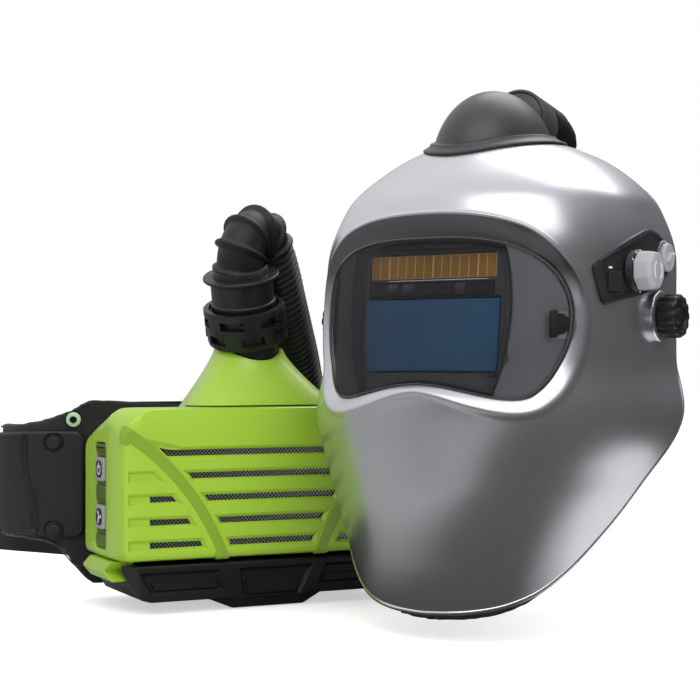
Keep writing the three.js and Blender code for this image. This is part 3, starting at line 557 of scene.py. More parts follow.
def soften(node, look, body, width, segments=2, angle=30):
    """A copy of a CAD node with its edges rounded, which stands for the node."""
    mesh = nodes[node].data.copy()
    obj = bpy.data.objects.new(node + "_detail", mesh)
    scene.collection.objects.link(obj)
    work = bmesh.new()
    work.from_mesh(mesh)
    bmesh.ops.remove_doubles(work, verts=work.verts, dist=2e-6)
    bmesh.ops.dissolve_limit(work, angle_limit=0.02, verts=work.verts, edges=work.edges)
    work.to_mesh(mesh)
    work.free()
    bevelled(obj, width, segments, angle)
    finish_piece(obj, look, body, [node], angle=50)
    return weighted(obj)


def keep(node, look):
    """A CAD node whose shape is right, in a better material."""
    obj = nodes[node]
    obj.data.materials.clear()
    obj.data.materials.append(look)


def rounded_box_ring(half, low, high, y, corner, foot=None, steps=8):
    """A level-sided ring across the blower at one depth: corner radii at its top and at its foot."""
    foot = corner if foot is None else foot
    ring = []
    for cx, cz, radius, start in (
        (half - corner, high - corner, corner, 0),
        (corner - half, high - corner, corner, 90),
        (foot - half, low + foot, foot, 180),
        (half - foot, low + foot, foot, 270),
    ):
        for i in range(steps + 1):
            angle = math.radians(start + 90 * i / steps)
            ring.append((cx + radius * math.cos(angle), y, cz + radius * math.sin(angle)))
    return ring


def inset(outline, distance):
    """A plane outline moved inwards by a distance, with mitred corners."""
    points = [Vector(p) for p in outline]
    area = sum(a.x * b.y - b.x * a.y for a, b in zip(points, points[1:] + points[:1]))
    sign = 1 if area > 0 else -1
    moved_points = []
    for i, point in enumerate(points):
        before = (point - points[i - 1]).normalized()
        after = (points[(i + 1) % len(points)] - point).normalized()
        normals = [Vector((-d.y, d.x)) * sign for d in (before, after)]
        bisector = (normals[0] + normals[1]).normalized()
        moved_points.append(point + bisector * distance / max(0.35, bisector.dot(normals[0])))
    return [(p.x, p.y) for p in moved_points]


def recess(outline, wall, front, floor):
    """A cutter for a shallow recess in the front face, with sloping walls."""
    outside = inset(outline, -wall * 1.5 / (floor - front))
    return stack("y", (front - 1.5, outside), (floor, inset(outline, wall)))


# ---------------------------------------------------------------- blower
FRONT, HALF_WIDTH = -45, 111
TOP_SLOT, SLOT_PITCH = 109.4, 15.6


def cover_rings(grow):
    sizes = [
        (104.6, 41.0, 134.0, -45.0, 22, 5),
        (106.2, 39.2, 136.4, -44.6, 22.5, 6),
        (107.5, 37.6, 138.4, -43.6, 23, 7),
        (108.3, 36.6, 139.6, -42.0, 23, 7),
        (108.9, 36.1, 140.2, -39.4, 22, 6.5),
        (109.8, 36.0, 140.4, -34.0, 20, 6),
        (110.6, 36.0, 140.4, -28.0, 16, 5),
        (111.0, 36.0, 140.0, -20.0, 12, 4),
        (111.0, 36.0, 138.0, -15.2, 10, 4),
    ]
    return [
        rounded_box_ring(half + grow, low - grow, high + grow, y - (grow if y < -30 else 0), corner, foot, 10)
        for half, low, high, y, corner, foot in sizes
    ]


def band_line(t, shift):
    """The sweeping band's middle line, moved sideways, as a point of the front face."""
    a, b, c = Vector((-115, 127)), Vector((-60, 95)), Vector((-36.5, 34))
    point = a * (1 - t) ** 2 + b * 2 * t * (1 - t) + c * t**2
    slope = (b - a) * 2 * (1 - t) + (c - b) * 2 * t
    return point + Vector((-slope.y, slope.x)).normalized() * shift


def band_at(z, shift):
    """How far left the band's middle line, moved sideways, lies at a height."""
    candidates = [band_line(t, shift) for t in np.linspace(0, 1, 80)]
    return min(candidates, key=lambda p: abs(p.y - z)).x


def flip(outline):
    return [(-x, z) for x, z in outline][::-1]


def cover_cutters():
    """The louvres' recesses, and the slots through their floors."""
    tail_mouth = [(-95.4, 121.0), (-77, 104.2), (-64, 106), (-66, 114.4)]
    tail_floor = [(-86.4, 114.6), (-76, 107.2), (-66, 108), (-68, 111.6)]
    tail = ((FRONT - 0.6, tail_mouth), (FRONT + 1.8, tail_floor))
    cutters = [hull([Vector((x, y, z)) for y, outline in tail for x, z in outline])]
    for row in range(5):
        z = TOP_SLOT - row * SLOT_PITCH
        low, high = z - 4.3, z + 4.2
        if row == 0:
            outline = [(-78.6, low), (80, low), (74.5, high), (-68, high)]
            slot = [
                (-83.4, 113.3), (-77.2, z - 2.1), (76.5, z - 2.1), (73, z + 2.1), (-73, z + 2.1),
                (-78.4, 112.2),
            ]
        else:
            near, far = band_at(low, 7.4), band_at(high, 7.4)
            outline = [(near, low), (-near, low), (-far, high), (far, high)]
            slot = inset(outline, 2.2)
        cutters.append(recess(outline, 2.1, FRONT, FRONT + 2.3))
        cutters.append(prism(slot, "y", FRONT + 0.8, FRONT + 8))
        if row:
            outer = [(-105.6, low), (band_at(low, -6.6), low), (band_at(high, -6.6), high), (-105.6, high)]
            for side in (lambda shape: shape, flip):
                cutters.append(recess(side(outer), 2.1, FRONT, FRONT + 2.3))
                if row > 1:
                    through = [(-89.5, z - 2.1), *inset(outer, 2.4)[1:3], (-89.5, z + 2.1)]
                    cutters.append(prism(side(through), "y", FRONT + 0.8, FRONT + 8))
    return cutters


def front_cover():
    cover = make("front_cover_detail", loft(cover_rings(0)))
    shape = loft(cover_rings(1.1))
    grown = make("grown", shape, kinds=[1] * len(shape[1]))
    bands = []
    for side in (1, -1):
        rings = []
        for i in range(25):
            t = i / 24
            half = 5.4 - 1.0 * t
            near, far = band_line(t, half), band_line(t, -half)
            ring = [(near.x, -46.1, near.y), (near.x, -40, near.y), (far.x, -40, far.y), (far.x, -44.7, far.y)]
            rings.append([(side * x, y, z) for x, y, z in ring])
        shape = loft(rings)
        band = make("band", shape, kinds=[1] * len(shape[1]))
        bands.append(modify(band, "BOOLEAN", operation="INTERSECT", solver="EXACT", object=grown))
    bpy.data.objects.remove(grown)
    carve(cover, *[make("cutter", shape) for shape in cover_cutters()])
    carve(cover, *bands, operation="UNION")
    brow = []
    for i in range(25):
        x = -100 + 212 * i / 24
        crease = 129.5 - 13.5 * math.sin(math.pi * min(1, max(0, (x + 100) / 236))) ** 0.8
        brow.append([(x, -45.3, crease), (x, -42.6, 141), (x, -52, 141), (x, -52, crease)])
    pocket = [
        rounded_box_ring(107, 39.5, 136.5, y, 12, 4, 6) for y in (-36, -10)
    ]
    pocket.insert(0, rounded_box_ring(100, 45, 131, -41.8, 18, 4, 6))
    carve(cover, make("brow", loft(brow)), make("pocket", loft(pocket)))
    kinds = [p.material_index for p in cover.data.polygons]
    finish_piece(cover, lime, "unit", ["front_cover"], angle=24)
    # The band's faces take the second look, a darker lime that paints shade on the band.
    cover.data.materials.append(lime_band_painted_shade)
    for face, kind in zip(cover.data.polygons, kinds):
        face.material_index = 1 if kind else 0
    weighted(cover)


def rear_housing():
    rings = [
        rounded_box_ring(half, low, high, y, corner, foot, 8)
        for half, low, high, y, corner, foot in (
            (111, 36, 137.6, -14.8, 10, 4),
            (111, 36, 130.5, 8, 10, 4),
            (111, 36, 121.5, 34, 10, 5),
            (110.2, 37, 119.0, 38, 10, 6),
            (108.0, 39.5, 116.5, 41.5, 10, 7),
            (104.5, 43.5, 112.5, 44.4, 10, 8),
            (103.5, 44.5, 111.5, 45, 10, 8),
        )
    ]
    housing = make("rear_housing_detail", loft(rings))
    mouth = rounded(31, 78, 5, 0.5, 79)
    floor = rounded(25.4, 72.4, 3, 0.5, 79)
    pocket = stack("x", (-116, mouth), (-108, floor), (-105.8, floor))
    inside = loft([rounded_box_ring(103, 40, 132, -18, 6), rounded_box_ring(103, 40, 117, 32, 6)])
    hole = prism(circle(18.6, 32), "z", 100, 150)
    carve(housing, make("pocket", pocket), make("inside", inside), make("hole", hole))
    finish_piece(housing, lime, "unit", ["rear_housing"], angle=28)
    weighted(housing)


def keypad():
    """The keypad's frame, with stepped lumps over, between and under its two buttons."""
    end = -HALF_WIDTH
    plate = make("keypad_frame_detail", prism(rounded(24.2, 71.2, 2.6, 0.5, 79), "x", end + 2.0, end + 5.0))
    holes = [prism(rounded(20.8, 17.8, 3, 0.5, z), "x", end - 1, end + 9) for z in (97, 64)]
    carve(plate, *[make("hole", hole) for hole in holes])
    lumps = []
    for z, height in ((112, 5.4), (80.5, 10.5), (47.5, 8.6)):
        base, top = rounded(23.6, height, 2.2, 0.5, z), rounded(18.5, height - 3.0, 1.6, 0.5, z)
        lumps.append(make("lump", stack("x", (end + 4, base), (end + 0.9, base), (end + 0.2, top))))
    carve(plate, *lumps, operation="UNION")
    finish_piece(plate, lime_deep, "unit", ["keypad_frame"], angle=30)
    weighted(plate)
    for name, z in (("power", 97), ("speed", 64)):
        button = name + "_button"
        levels = []
        for x, grow, radius in ((3.0, 0, 3.2), (0.4, 0, 3.2), (-0.4, -0.5, 3.0), (-0.8, -1.5, 2.6)):
            levels.append((end + x, rounded(19.6 + 2 * grow, 16.6 + 2 * grow, radius, 0.5, z)))
        cap = make(button + "_cap", stack("x", *levels))
        weighted(finish_piece(cap, knob_grey, button, [button], 32))
        badge = prism(rounded(13.6, 11.6, 4.5, 0.5, z, 8), "x", end - 0.6, end - 0.95)
        finish_piece(make(button + "_badge", badge), black, button)
        marks = []

        def stroke(points, width=1.0):
            """A flat ribbon along points of the button's face."""
            line = [Vector(p) for p in points]
            rings = []
            for before, point, after in zip(line[:1] + line, line, line[1:] + line[-1:]):
                direction = (after - before).normalized()
                across = Vector((-direction.y, direction.x)) * width / 2
                corners = [(end - 0.9, point + across), (end - 0.9, point - across)]
                corners += [(end - 1.12, point - across), (end - 1.12, point + across)]
                rings.append([(x, p.x, p.y) for x, p in corners])
            return loft(rings)

        if name == "power":
            turns = np.linspace(0.7, 2 * math.pi - 0.7, 24)
            arc = [(0.5 + 3.4 * math.sin(a), z + 3.4 * math.cos(a)) for a in turns]
            marks = [stroke(arc), stroke([(0.5, z + 4.6), (0.5, z + 0.4)])]
        else:
            for blade in range(3):
                start = math.radians(120 * blade)
                arc = [
                    (0.5 + r * math.sin(start + r * 0.16), z + r * math.cos(start + r * 0.16))
                    for r in np.linspace(0.4, 4.8, 10)
                ]
                marks.append(stroke(arc, 1.5))
        for i, mark in enumerate(marks):
            finish_piece(make(f"{button}_sign_{i}", mark), pale_print, button)


def outlet_cone():
    """The hood under the ball joint, with soft creases running up from its corners."""

    def surface(u, v, side):
        angle = u * 2 * math.pi
        c, s = math.cos(angle), math.sin(angle)
        square = 1 / (abs(c) ** 5 + abs(s) ** 5) ** 0.2
        inside = 2.6 if side else 0
        base = ((56 - inside) * c * square, -3 + (37 - inside) * s * square)
        lip = ((25 - inside) * c, (25 - inside) * s)
        spread = (1 - v) ** 1.25
        x = lip[0] + (base[0] - lip[0]) * spread
        y = lip[1] + (base[1] - lip[1]) * spread
        top = 140.5 if base[1] < -19 else 139 - (base[1] + 19) * 0.33
        low, high = top + 0.7, 181.5 - 9 * s * s
        return Vector((x, y, low + (high - low) * v**0.9))

    cone = make("outlet_cone_detail", sheet(112, 22, surface, ring=True))
    finish_piece(cone, lime, "unit", ["outlet_cone"], angle=50)


def battery():
    body = [(-108, 33), (-95, 10), (-88, 8), (88, 8), (95, 10), (108, 33)]
    points = []
    for x, z in body:
        wide = abs(x) > 100
        for y in ((-26, 40) if wide else (-42, 40)):
            points.append((x, y, z))
    points += [(-98, -42, 31), (98, -42, 31), (-98, -41.5, 33), (98, -41.5, 33)]
    shell = make("battery_pack_detail", hull([Vector(p) for p in points]))
    bevelled(shell, 1.6, 3, 12)
    foot = [(-44, 9), (-27, 0), (27, 0), (44, 9), (44, 14), (-44, 14)]
    bulge = make("bulge", hull([(x, y, z) for y in (-37, 35) for x, z in foot]))
    bevelled(bulge, 1.6, 3, 12)
    carve(shell, bulge, operation="UNION")
    cutters, ribs = [], []
    panels = (
        (
            [(-97, 28.5), (-88, 13), (-34.5, 13), (-37.5, 28.5)],
            [(-90, 22), (-85, 14.5), (-37.8, 14.5), (-39.4, 22)],
        ),
        ([(-24, 28.5), (-21, 7), (22, 7), (33, 28.5)], [(-20, 20), (-18, 8.6), (20, 8.6), (26, 20)]),
        ([(42, 28.5), (35, 13), (86, 13), (93, 28.5)], [(42, 22), (39, 14.5), (83, 14.5), (87, 22)]),
    )
    for outline, ledge in panels:
        cutters.append(make("panel", recess(outline, 2.4, -42, -38.8)))
        ribs.append(make("ledge", stack("y", (-38, ledge), (-40.2, inset(ledge, 1.4)))))
    for side in (-1, 1):
        near, far = sorted((side * 92.5, side * 116))
        cutters.append(make("pocket", block((near, -30, 20.6), (far, 36, 40))))
    carve(shell, *cutters)
    carve(shell, *ribs, operation="UNION")
    finish_piece(shell, black, "battery", ["battery_pack"], angle=24)
    weighted(shell)


front_cover()
rear_housing()
keypad()
outlet_cone()
battery()
for side in ("left", "right"):
    soften("battery_latch_" + side, lime, "battery_latch_" + side, 1.1, 3)
for node, look in (
    ("spark_mesh", mesh_steel),
    ("prefilter", paper),
    ("particle_filter", paper),
    ("fan_scroll", black),
    ("impeller", charcoal),
    ("motor", steel),
    ("motor_shaft", steel),
    ("circuit_board", board_green),
    ("ball_swivel", black),
):
    keep(node, look)


# ---------------------------------------------------------------- hose connector
def connector():
    wall = [
        (24.4, 10.4), (26.6, 9.8), (27.4, 10.6), (28.0, 13), (28.4, 23), (29.2, 24.4), (29.2, 36), (28.6, 37),
        (25.4, 37), (25.0, 36),
    ]
    ring = make("bayonet_ring_detail", turned(wall, 72), OUTLET)
    cutters = []
    for i in range(6):
        turn = Matrix.Rotation(math.radians(i * 60 - 12), 4, "Z")
        upper = moved(block((22, -9, 26), (34, 9, 32)), turn)
        lower = moved(block((22, -8, 14), (34, 8, 20)), turn @ Matrix.Rotation(math.radians(30), 4, "Z"))
        cutters += [make("window", upper, OUTLET), make("window", lower, OUTLET)]
    carve(ring, *cutters)
    pieces = []
    for start in (-62, 118):
        for i in range(4):
            turn = Matrix.Rotation(math.radians(start + i * 7.5), 4, "Z")
            for low in (12.5, 20.5, 28.5):
                pieces.append(moved(prism(rounded(2.6, 6.8, 1.1, 0, low + 3.4), "x", 26.5, 30.4), turn))
    for i in range(6):
        turn = Matrix.Rotation(math.radians(i * 60 + 6), 4, "Z")
        pieces.append(moved(prism(rounded(7, 2.4, 0.6, 0, 29), "x", 25.2, 28.2), turn))
    for number, piece in enumerate(pieces):
        detail = make(f"bayonet_ring_rib_{number}", piece, OUTLET)
        finish_piece(detail, black, "bayonet_ring", angle=40)
    liner = turned([(23.5, 12), (24.1, 12), (24.1, 35), (23.5, 35)], 72)
    liner = make("bayonet_ring_liner", liner, OUTLET)
    finish_piece(liner, soft_black, "bayonet_ring", angle=40)
    finish_piece(ring, black, "bayonet_ring", ["bayonet_ring"], angle=32)
    weighted(ring)
    cuff = [
        (19, 18), (21.5, 18), (22.4, 38), (23.2, 38.6), (23.2, 40), (22.4, 40.8), (22.2, 54), (22.8, 56.2),
        (26.6, 57.2), (27.2, 57.9), (27.2, 59.2), (26.6, 59.8), (20.2, 60.2), (19.8, 64.6), (19.0, 65.4),
        (15.6, 65.4), (15, 64), (15, 40), (19, 40),
    ]
    cuff = make("hose_cuff_lower_detail", turned(cuff, 72), OUTLET)
    finish_piece(cuff, black, "hose_swivel", ["hose_cuff_lower"], 40)


connector()


# ---------------------------------------------------------------- hip belt
WAIST = {"front": 56, "half": 152, "front_corner": 70, "side": 62, "rear_corner": 75}


def on_belt(distance, offset, z):
    """A point of the belt loop: distance from the middle of its front, outward offset, height."""
    side = -1 if distance < 0 else 1
    reach = abs(distance)
    front_end = WAIST["half"] - WAIST["front_corner"]
    side_start = front_end + WAIST["front_corner"] * math.pi / 2
    rear_start = side_start + WAIST["side"]
    rear_end = rear_start + WAIST["rear_corner"] * math.pi / 2
    corner_y = WAIST["front"] + WAIST["front_corner"]
    rear_x, rear_y = WAIST["half"] - WAIST["rear_corner"], corner_y + WAIST["side"]
    if reach > rear_end:
        point, normal = (rear_x - (reach - rear_end), rear_y + WAIST["rear_corner"]), (0, 1)
    elif reach > rear_start:
        angle = (reach - rear_start) / WAIST["rear_corner"]
        normal = (math.cos(angle), math.sin(angle))
        point = (rear_x + WAIST["rear_corner"] * normal[0], rear_y + WAIST["rear_corner"] * normal[1])
    elif reach > side_start:
        point, normal = (WAIST["half"], corner_y + reach - side_start), (1, 0)
    elif reach > front_end:
        angle = (reach - front_end) / WAIST["front_corner"]
        normal = (math.sin(angle), -math.cos(angle))
        point = (front_end + WAIST["front_corner"] * normal[0], corner_y + WAIST["front_corner"] * normal[1])
    else:
        point, normal = (reach, WAIST["front"]), (0, -1)
    return Vector((side * (point[0] + offset * normal[0]), point[1] + offset * normal[1], z))


def belt_band(start, end, inner, outer, low, high, columns, rows):
    def surface(u, v, side):
        distance = start + (end - start) * u
        bottom, top = low(distance), high(distance)
        offset = inner if side else (outer(distance, v) if callable(outer) else outer)
        return on_belt(distance, offset, bottom + (top - bottom) * v)

    return sheet(columns, rows, surface)


PAD_HALF = 175
PAD_TOP = curve_table([(0, 145), (100, 145), (115, 138), (135, 131), (160, 127), (175, 127)])
PAD_LOW = curve_table([(0, 9), (99, 9), (112, 21), (128, 37), (150, 41), (175, 42)])
WING_TOP = curve_table([(104, 116), (110, 122), (190, 118), (200, 110)])
WING_LOW = curve_table([(104, 50), (110, 44), (190, 50), (200, 58)])
STRAP_HEIGHT = curve_table([(170, 83), (200, 82), (300, 40), (417, 22)])


def inflate(obj, limit):
    """Swells a closed cloth a little, no point moving further than the limit; its callers then smooth it by one
    subdivision.
    """
    start = np.array([v.co for v in obj.data.vertices])
    cloth = obj.modifiers.new("cloth", "CLOTH")
    settings = cloth.settings
    settings.quality = 5
    settings.use_pressure = True
    settings.uniform_pressure_force = 4
    settings.effector_weights.gravity = 0
    for frame_number in range(1, 21):
        scene.frame_set(frame_number)
    settle(obj)
    scene.frame_set(1)
    swollen = np.array([v.co for v in obj.data.vertices])
    step = swollen - start
    reach = np.linalg.norm(step, axis=1, keepdims=True)
    step *= np.minimum(1, limit * MM / np.maximum(reach, 1e-9))
    for vertex, point in zip(obj.data.vertices, start + step):
        vertex.co = point


def back_pad():
    low, high = (lambda d: PAD_LOW(abs(d)) + 0.6), (lambda d: PAD_TOP(abs(d)) - 0.6)
    shape = belt_band(-PAD_HALF, PAD_HALF, -3.6, 3.6, low, high, 96, 26)
    pad = make("back_pad_cushion", shape)
    modify(pad, "REMESH", mode="VOXEL", voxel_size=0.0026)
    inflate(pad, 2.2)
    to_millimetres = WORK.inverted()
    for vertex in pad.data.vertices:
        # The blower's plate and the wings press the cloth flat.
        point = to_millimetres @ vertex.co
        if abs(point.x) < 112 and point.y < 53:
            point.y = max(point.y, 50.8)
            vertex.co = WORK @ point
    finish_piece(pad, pad_cloth, "unit", ["back_pad"], angle=60)
    modify(pad, "SUBSURF", levels=1, render_levels=1)
    piping = []
    for edge, sign in ((PAD_TOP, -1), (PAD_LOW, 1)):
        for offset in (4.9, -4.9):
            rings = []
            for i in range(121):
                distance = 350 * i / 120 - PAD_HALF
                height = float(edge(abs(distance))) + sign * 3.4
                outward = (on_belt(distance, 1, 0) - on_belt(distance, 0, 0)).normalized()
                centre = on_belt(distance, offset * 0.72, height)
                rings.append([centre + 0.75 * (outward * math.cos(a) + UP * math.sin(a)) for a in around(6)])
            piping.append(loft(rings))
    edging = make("back_pad_edging", merge(*piping))
    finish_piece(edging, strap_cloth, "unit", angle=60)


def hip_wing(name, side):
    """A moulded wing with a step down its middle and a curved relief on its face."""

    def relief(distance, v):
        reach = abs(distance)
        height = 44 + 78 * v
        bend = 138.5 + 7.5 * float(smooth_steps(58, 100, height))
        inside_ends = float(smooth_steps(0.03, 0.06, v) * (1 - smooth_steps(0.94, 0.97, v)))
        groove = 2.6 * math.exp(-((abs(reach - bend) / 2.4) ** 4)) * inside_ends
        edge = min(reach - 104, 200 - reach, 60) / 2.2
        rim = min(1.0, max(0.0, edge)) * min(1.0, min(v, 1 - v) * 78 / 2.2)
        sweep = 21 * max(0.0, (height - 53) / 30) ** 1.7 + (121 if reach < bend else 153)
        hollow = 1.5 * float(smooth_steps(0, 1.3, reach - sweep))
        ring = min(math.hypot(reach - 125, height - z) for z in (113, 49))
        seat = 2.4 * float(smooth_steps(4.7, 5.3, ring) * (1 - smooth_steps(6.5, 7.2, ring)))
        return 5.6 + 2.8 * rim ** 0.5 - hollow - max(groove, seat)

    low, high = (lambda d: WING_LOW(abs(d))), (lambda d: WING_TOP(abs(d)))
    shape = belt_band(side * 104, side * 200, 5.3, relief, low, high, 150, 84)
    wing = make(f"hip_wing_{name}_detail", shape)
    finish_piece(wing, wing_grey, "unit", [f"hip_wing_{name}"], angle=50)


def through_belt(distance, z):
    """A frame on the belt's middle line, its Z along the outward normal."""
    centre = on_belt(distance, 0, z)
    return along(WORK, centre, on_belt(distance, 1, z) - centre)


def belt():
    back_pad()
    for name, side in (("left", -1), ("right", 1)):
        hip_wing(name, side)
        weave = lambda d, v: 1.25 + 0.12 * math.cos(v * 2 * math.pi * 9)
        low, high = (lambda d: STRAP_HEIGHT(abs(d)) - 19), (lambda d: STRAP_HEIGHT(abs(d)) + 19)
        strap = belt_band(side * 175.4, side * 417, -1.25, weave, low, high, 120, 54)
        strap = make(f"webbing_{name}_woven", strap)
        finish_piece(strap, strap_cloth, "unit", [f"webbing_{name}"], 60)
        place = through_belt(side * 112, 129.7)
        wall = [(2.0, -5.6), (2.9, -5.6), (3.0, 6.6), (2.9, 7.3), (2.6, 7.7), (2.2, 7.3), (2.0, 6.4)]
        eyelet = turned(wall, 48)
        eyelet = make(f"grommet_{name}_eyelet", eyelet, place)
        finish_piece(eyelet, steel, "unit", [f"grommet_{name}"], 50)
        ring = turned([(3.0, 5.2), (5.0, 5.2), (5.3, 6.0), (4.8, 6.8), (3.0, 7.1)], 48)
        ring = make(f"grommet_{name}_ring", ring, place)
        finish_piece(ring, pale_green, "unit", (), 50)
        for level, z in (("upper", 113), ("lower", 49)):
            place = through_belt(side * 125, z)
            stud = f"stud_{name}_{level}"
            seat = turned([(4.8, 5.2), (6.7, 5.2), (6.7, 6.4), (6.5, 6.6), (5.0, 6.6), (4.8, 6.4)], 48)
            finish_piece(make(stud + "_seat", seat, place), dark_print, "unit", (), 50)
            cap = [(0.01, 5.0), (4.9, 5.0), (4.9, 7.7), (4.6, 8.3), (4.0, 8.6), (0.01, 8.7)]
            finish_piece(make(stud + "_cap", turned(cap, 48), place), wing_grey, "unit", [stud], 50)
    soften("belt_plate", black, "unit", 1.2)
    soften("buckle_socket", black, "unit", 1.6, 3)
    soften("buckle_plug", black, "unit", 1.4, 3)



belt()


# ---------------------------------------------------------------- helmet shell
CROWN, SHELL, SHELL_REACH, POLE_Y, VISOR_HEIGHT = 306, 2.6, 106, 12, 183
PIVOT = (-5, 183)
SHELL_FRONT = curve_table([
    (0, 100), (30, 107), (80, 113), (120, 113), (155, 110), (185, 108), (220, 105), (255, 95), (280, 70),
    (297, 38), (306, 0),
])
SHELL_WIDTH = curve_table([
    (0, 84), (30, 95), (80, 113), (120, 124), (155, 114), (185, 113), (220, 112), (255, 100), (280, 75),
    (297, 42), (306, 0),
])
SHELL_MIDDLE = curve_table([
    (0, -8), (30, -4), (80, 0), (120, 3), (155, 4), (185, 5), (220, 8), (255, 12), (280, 18), (306, 24),
])
SQUARENESS = curve_table([(0, 1.9), (60, 1.9), (120, 2.05), (180, 2.35), (306, 2.3)])
RIM = curve_table([
    (0, 0), (15, 1), (30, 4), (45, 12), (58, 28), (70, 54), (82, 88), (92, 112), (100, 132), (110, 152),
])


def shell_points(degrees, height, offset):
    """Points of the shell: degrees round from the face, height, offset outwards, all arrays."""
    degrees, height, offset = np.broadcast_arrays(np.float64(degrees), np.float64(height), np.float64(offset))
    angle = np.radians(degrees)
    c, s = np.cos(angle), np.sin(angle)
    power = SQUARENESS(height)
    reach = 1 / (np.abs(s) ** power + np.abs(c) ** power) ** (1 / power)
    middle, width = SHELL_MIDDLE(height), SHELL_WIDTH(height)
    length = np.where(c > 0, SHELL_FRONT(height) + middle, 0.9 * width)
    points = np.stack([width * s * reach, middle - length * c * reach, height], axis=-1)
    points[height >= CROWN] = (0, POLE_Y, CROWN)
    outward = points - np.array((0, 10, 165))
    outward /= np.linalg.norm(outward, axis=-1, keepdims=True)
    return points + outward * offset[..., None]


def on_shell(degrees, height, offset=0.0):
    return Vector(shell_points(degrees, height, offset))


def visor_edge(angle):
    """The visor opening's edge: degrees round the face and rise over its middle."""
    c, s = math.cos(angle), math.sin(angle)
    degrees = 49.5 * math.copysign(abs(c) ** (2 / 3), c)
    nose = max(0.0, 1 - (degrees / 36) ** 2) ** 1.5
    return degrees, 50 * s if s > 0 else 63 * s + 20 * nose * min(1, -4 * s)


def visor_patch(start, end, outer, inner, columns=120, rows=4):
    def surface(u, v, side):
        degrees, rise = visor_edge(u * 2 * math.pi)
        scale = start + (end - start) * v
        return on_shell(degrees * scale, VISOR_HEIGHT + rise * scale, inner if side else outer)

    return sheet(columns, rows, surface, ring=True)


def shell_patch(start, end, low, high, outer, inner, columns, rows):
    def surface(u, v, side):
        return on_shell(start + (end - start) * u, low + (high - low) * v, inner if side else outer)

    return sheet(columns, rows, surface)


BEZEL_WIDTH = curve_table([
    (-180, 6.8), (-163, 9.4), (-140, 8.8), (-104, 4.4), (-90, 3.4), (-76, 4.4), (-40, 8.8), (-17, 9.4),
    (0, 6.8), (17, 6.2), (35, 10.8), (60, 12), (90, 12.5), (120, 12), (145, 10.8), (163, 6.2), (180, 6.8),
])


def bezel_line():
    """Evenly spread points of the opening's edge, the way outwards, the bezel's width, and the bearing."""
    edge = np.array([visor_edge(a) for a in around(2400)])
    edge[:, 0] *= 1.95
    length = np.concatenate([[0], np.cumsum(np.linalg.norm(np.diff(edge, axis=0, append=edge[:1]), axis=1))])
    places = np.linspace(0, length[-1], 300, endpoint=False)
    closed = np.vstack([edge, edge[:1]])
    line = np.stack([np.interp(places, length, closed[:, k]) for k in (0, 1)], axis=1)
    ahead = np.roll(line, -2, axis=0) - np.roll(line, 2, axis=0)
    outward = np.stack([ahead[:, 1], -ahead[:, 0]], axis=1)
    outward /= np.linalg.norm(outward, axis=1, keepdims=True)
    for _ in range(6):
        outward = (np.roll(outward, 1, axis=0) + outward * 2 + np.roll(outward, -1, axis=0)) / 4
    bearing = np.degrees(np.arctan2(line[:, 1], line[:, 0]))
    return line, outward, BEZEL_WIDTH(bearing), bearing


BEZEL_MARGIN = 4.5


def dish_painted_shade_look():
    """The shell's silver with painted shade: darker towards the top of the dish over the visor."""
    material = silver.copy()
    material.name = "silver_dish_painted_shade"
    tree = material.node_tree
    height = add(tree, "SeparateXYZ", {"Vector": coordinates(tree)}).outputs["Z"]
    share = ranged(tree, height, 0.0, 1.0, 0.206, 0.228)
    tint = ramp(tree, share, [(0.0, (0.57, 0.57, 0.60)), (1.0, (0.13, 0.13, 0.14))])
    feed(tree, tree.nodes["Principled BSDF"], {"Base Color": tint})
    return material


silver_dish_painted_shade = dish_painted_shade_look()


def bezel():
    """The dished channel over the visor and the rolled lip beside and under it."""
    line, outward, width, bearing = bezel_line()
    channel = smooth_steps(14, 34, bearing) * (1 - smooth_steps(146, 166, bearing))
    depth = 4.0 + 2.0 * channel
    columns = [[], []]
    shares = np.concatenate([np.linspace(0, 1, 19)[:-1], np.linspace(1, 2, 9)])
    for i in range(len(line)):
        for side in (0, 1):
            column = []
            for share in shares:
                inside = min(share, 1.0)
                gap = width[i] * inside + BEZEL_MARGIN * max(0.0, share - 1)
                spot = line[i] + outward[i] * gap
                dip = -depth[i] * (channel[i] * (1 - inside**1.5) + (1 - channel[i]) * (1 - inside) ** 2.0)
                crest = 0.9 * math.exp(-(((gap - width[i]) / 1.5) ** 2)) * channel[i]
                lip = 0.7 * (1 - channel[i]) * math.exp(-(((gap - width[i] * 0.85) / 3.2) ** 2))
                crest += lip * float(1 - smooth_steps(1.2, 2.0, share))
                fade = float(1 - smooth_steps(1.5, 2.0, share))
                offset = dip + crest * fade + 0.04
                column.append(on_shell(spot[0] / 1.95, VISOR_HEIGHT + spot[1], offset - (SHELL if side else 0)))
            columns[side].append(column)
    rows = len(shares) - 1
    points = [p for side in (0, 1) for column in columns[side] for p in column]
    faces = sheet_faces(len(line), rows, ring=True)
    count = len(points) // 2
    # The outer faces of the dish take the darkened silver, which is painted shade in the channel over the visor.
    in_dish = lambda face: max(face) < count and max(index % len(shares) for index in face) <= 17
    kinds = [1 if min(face) >= count else 2 if in_dish(face) else 0 for face in faces]
    ring = make("helmet_shell_bezel", (points, faces), HELMET, kinds)
    for look in (silver, shell_inside, silver_dish_painted_shade):
        ring.data.materials.append(look)
    finish_piece(ring, None, "unit", angle=55)


def bezel_cutter():
    line, outward, width, _ = bezel_line()
    rim = line + outward * (width + BEZEL_MARGIN - 0.15)[:, None]

    def surface(u, v, side):
        spot = rim[round(u * len(rim)) % len(rim)] * v
        return on_shell(spot[0] / 1.95, VISOR_HEIGHT + spot[1], -16 if side else 16)

    return sheet(len(rim), 3, surface, ring=True)


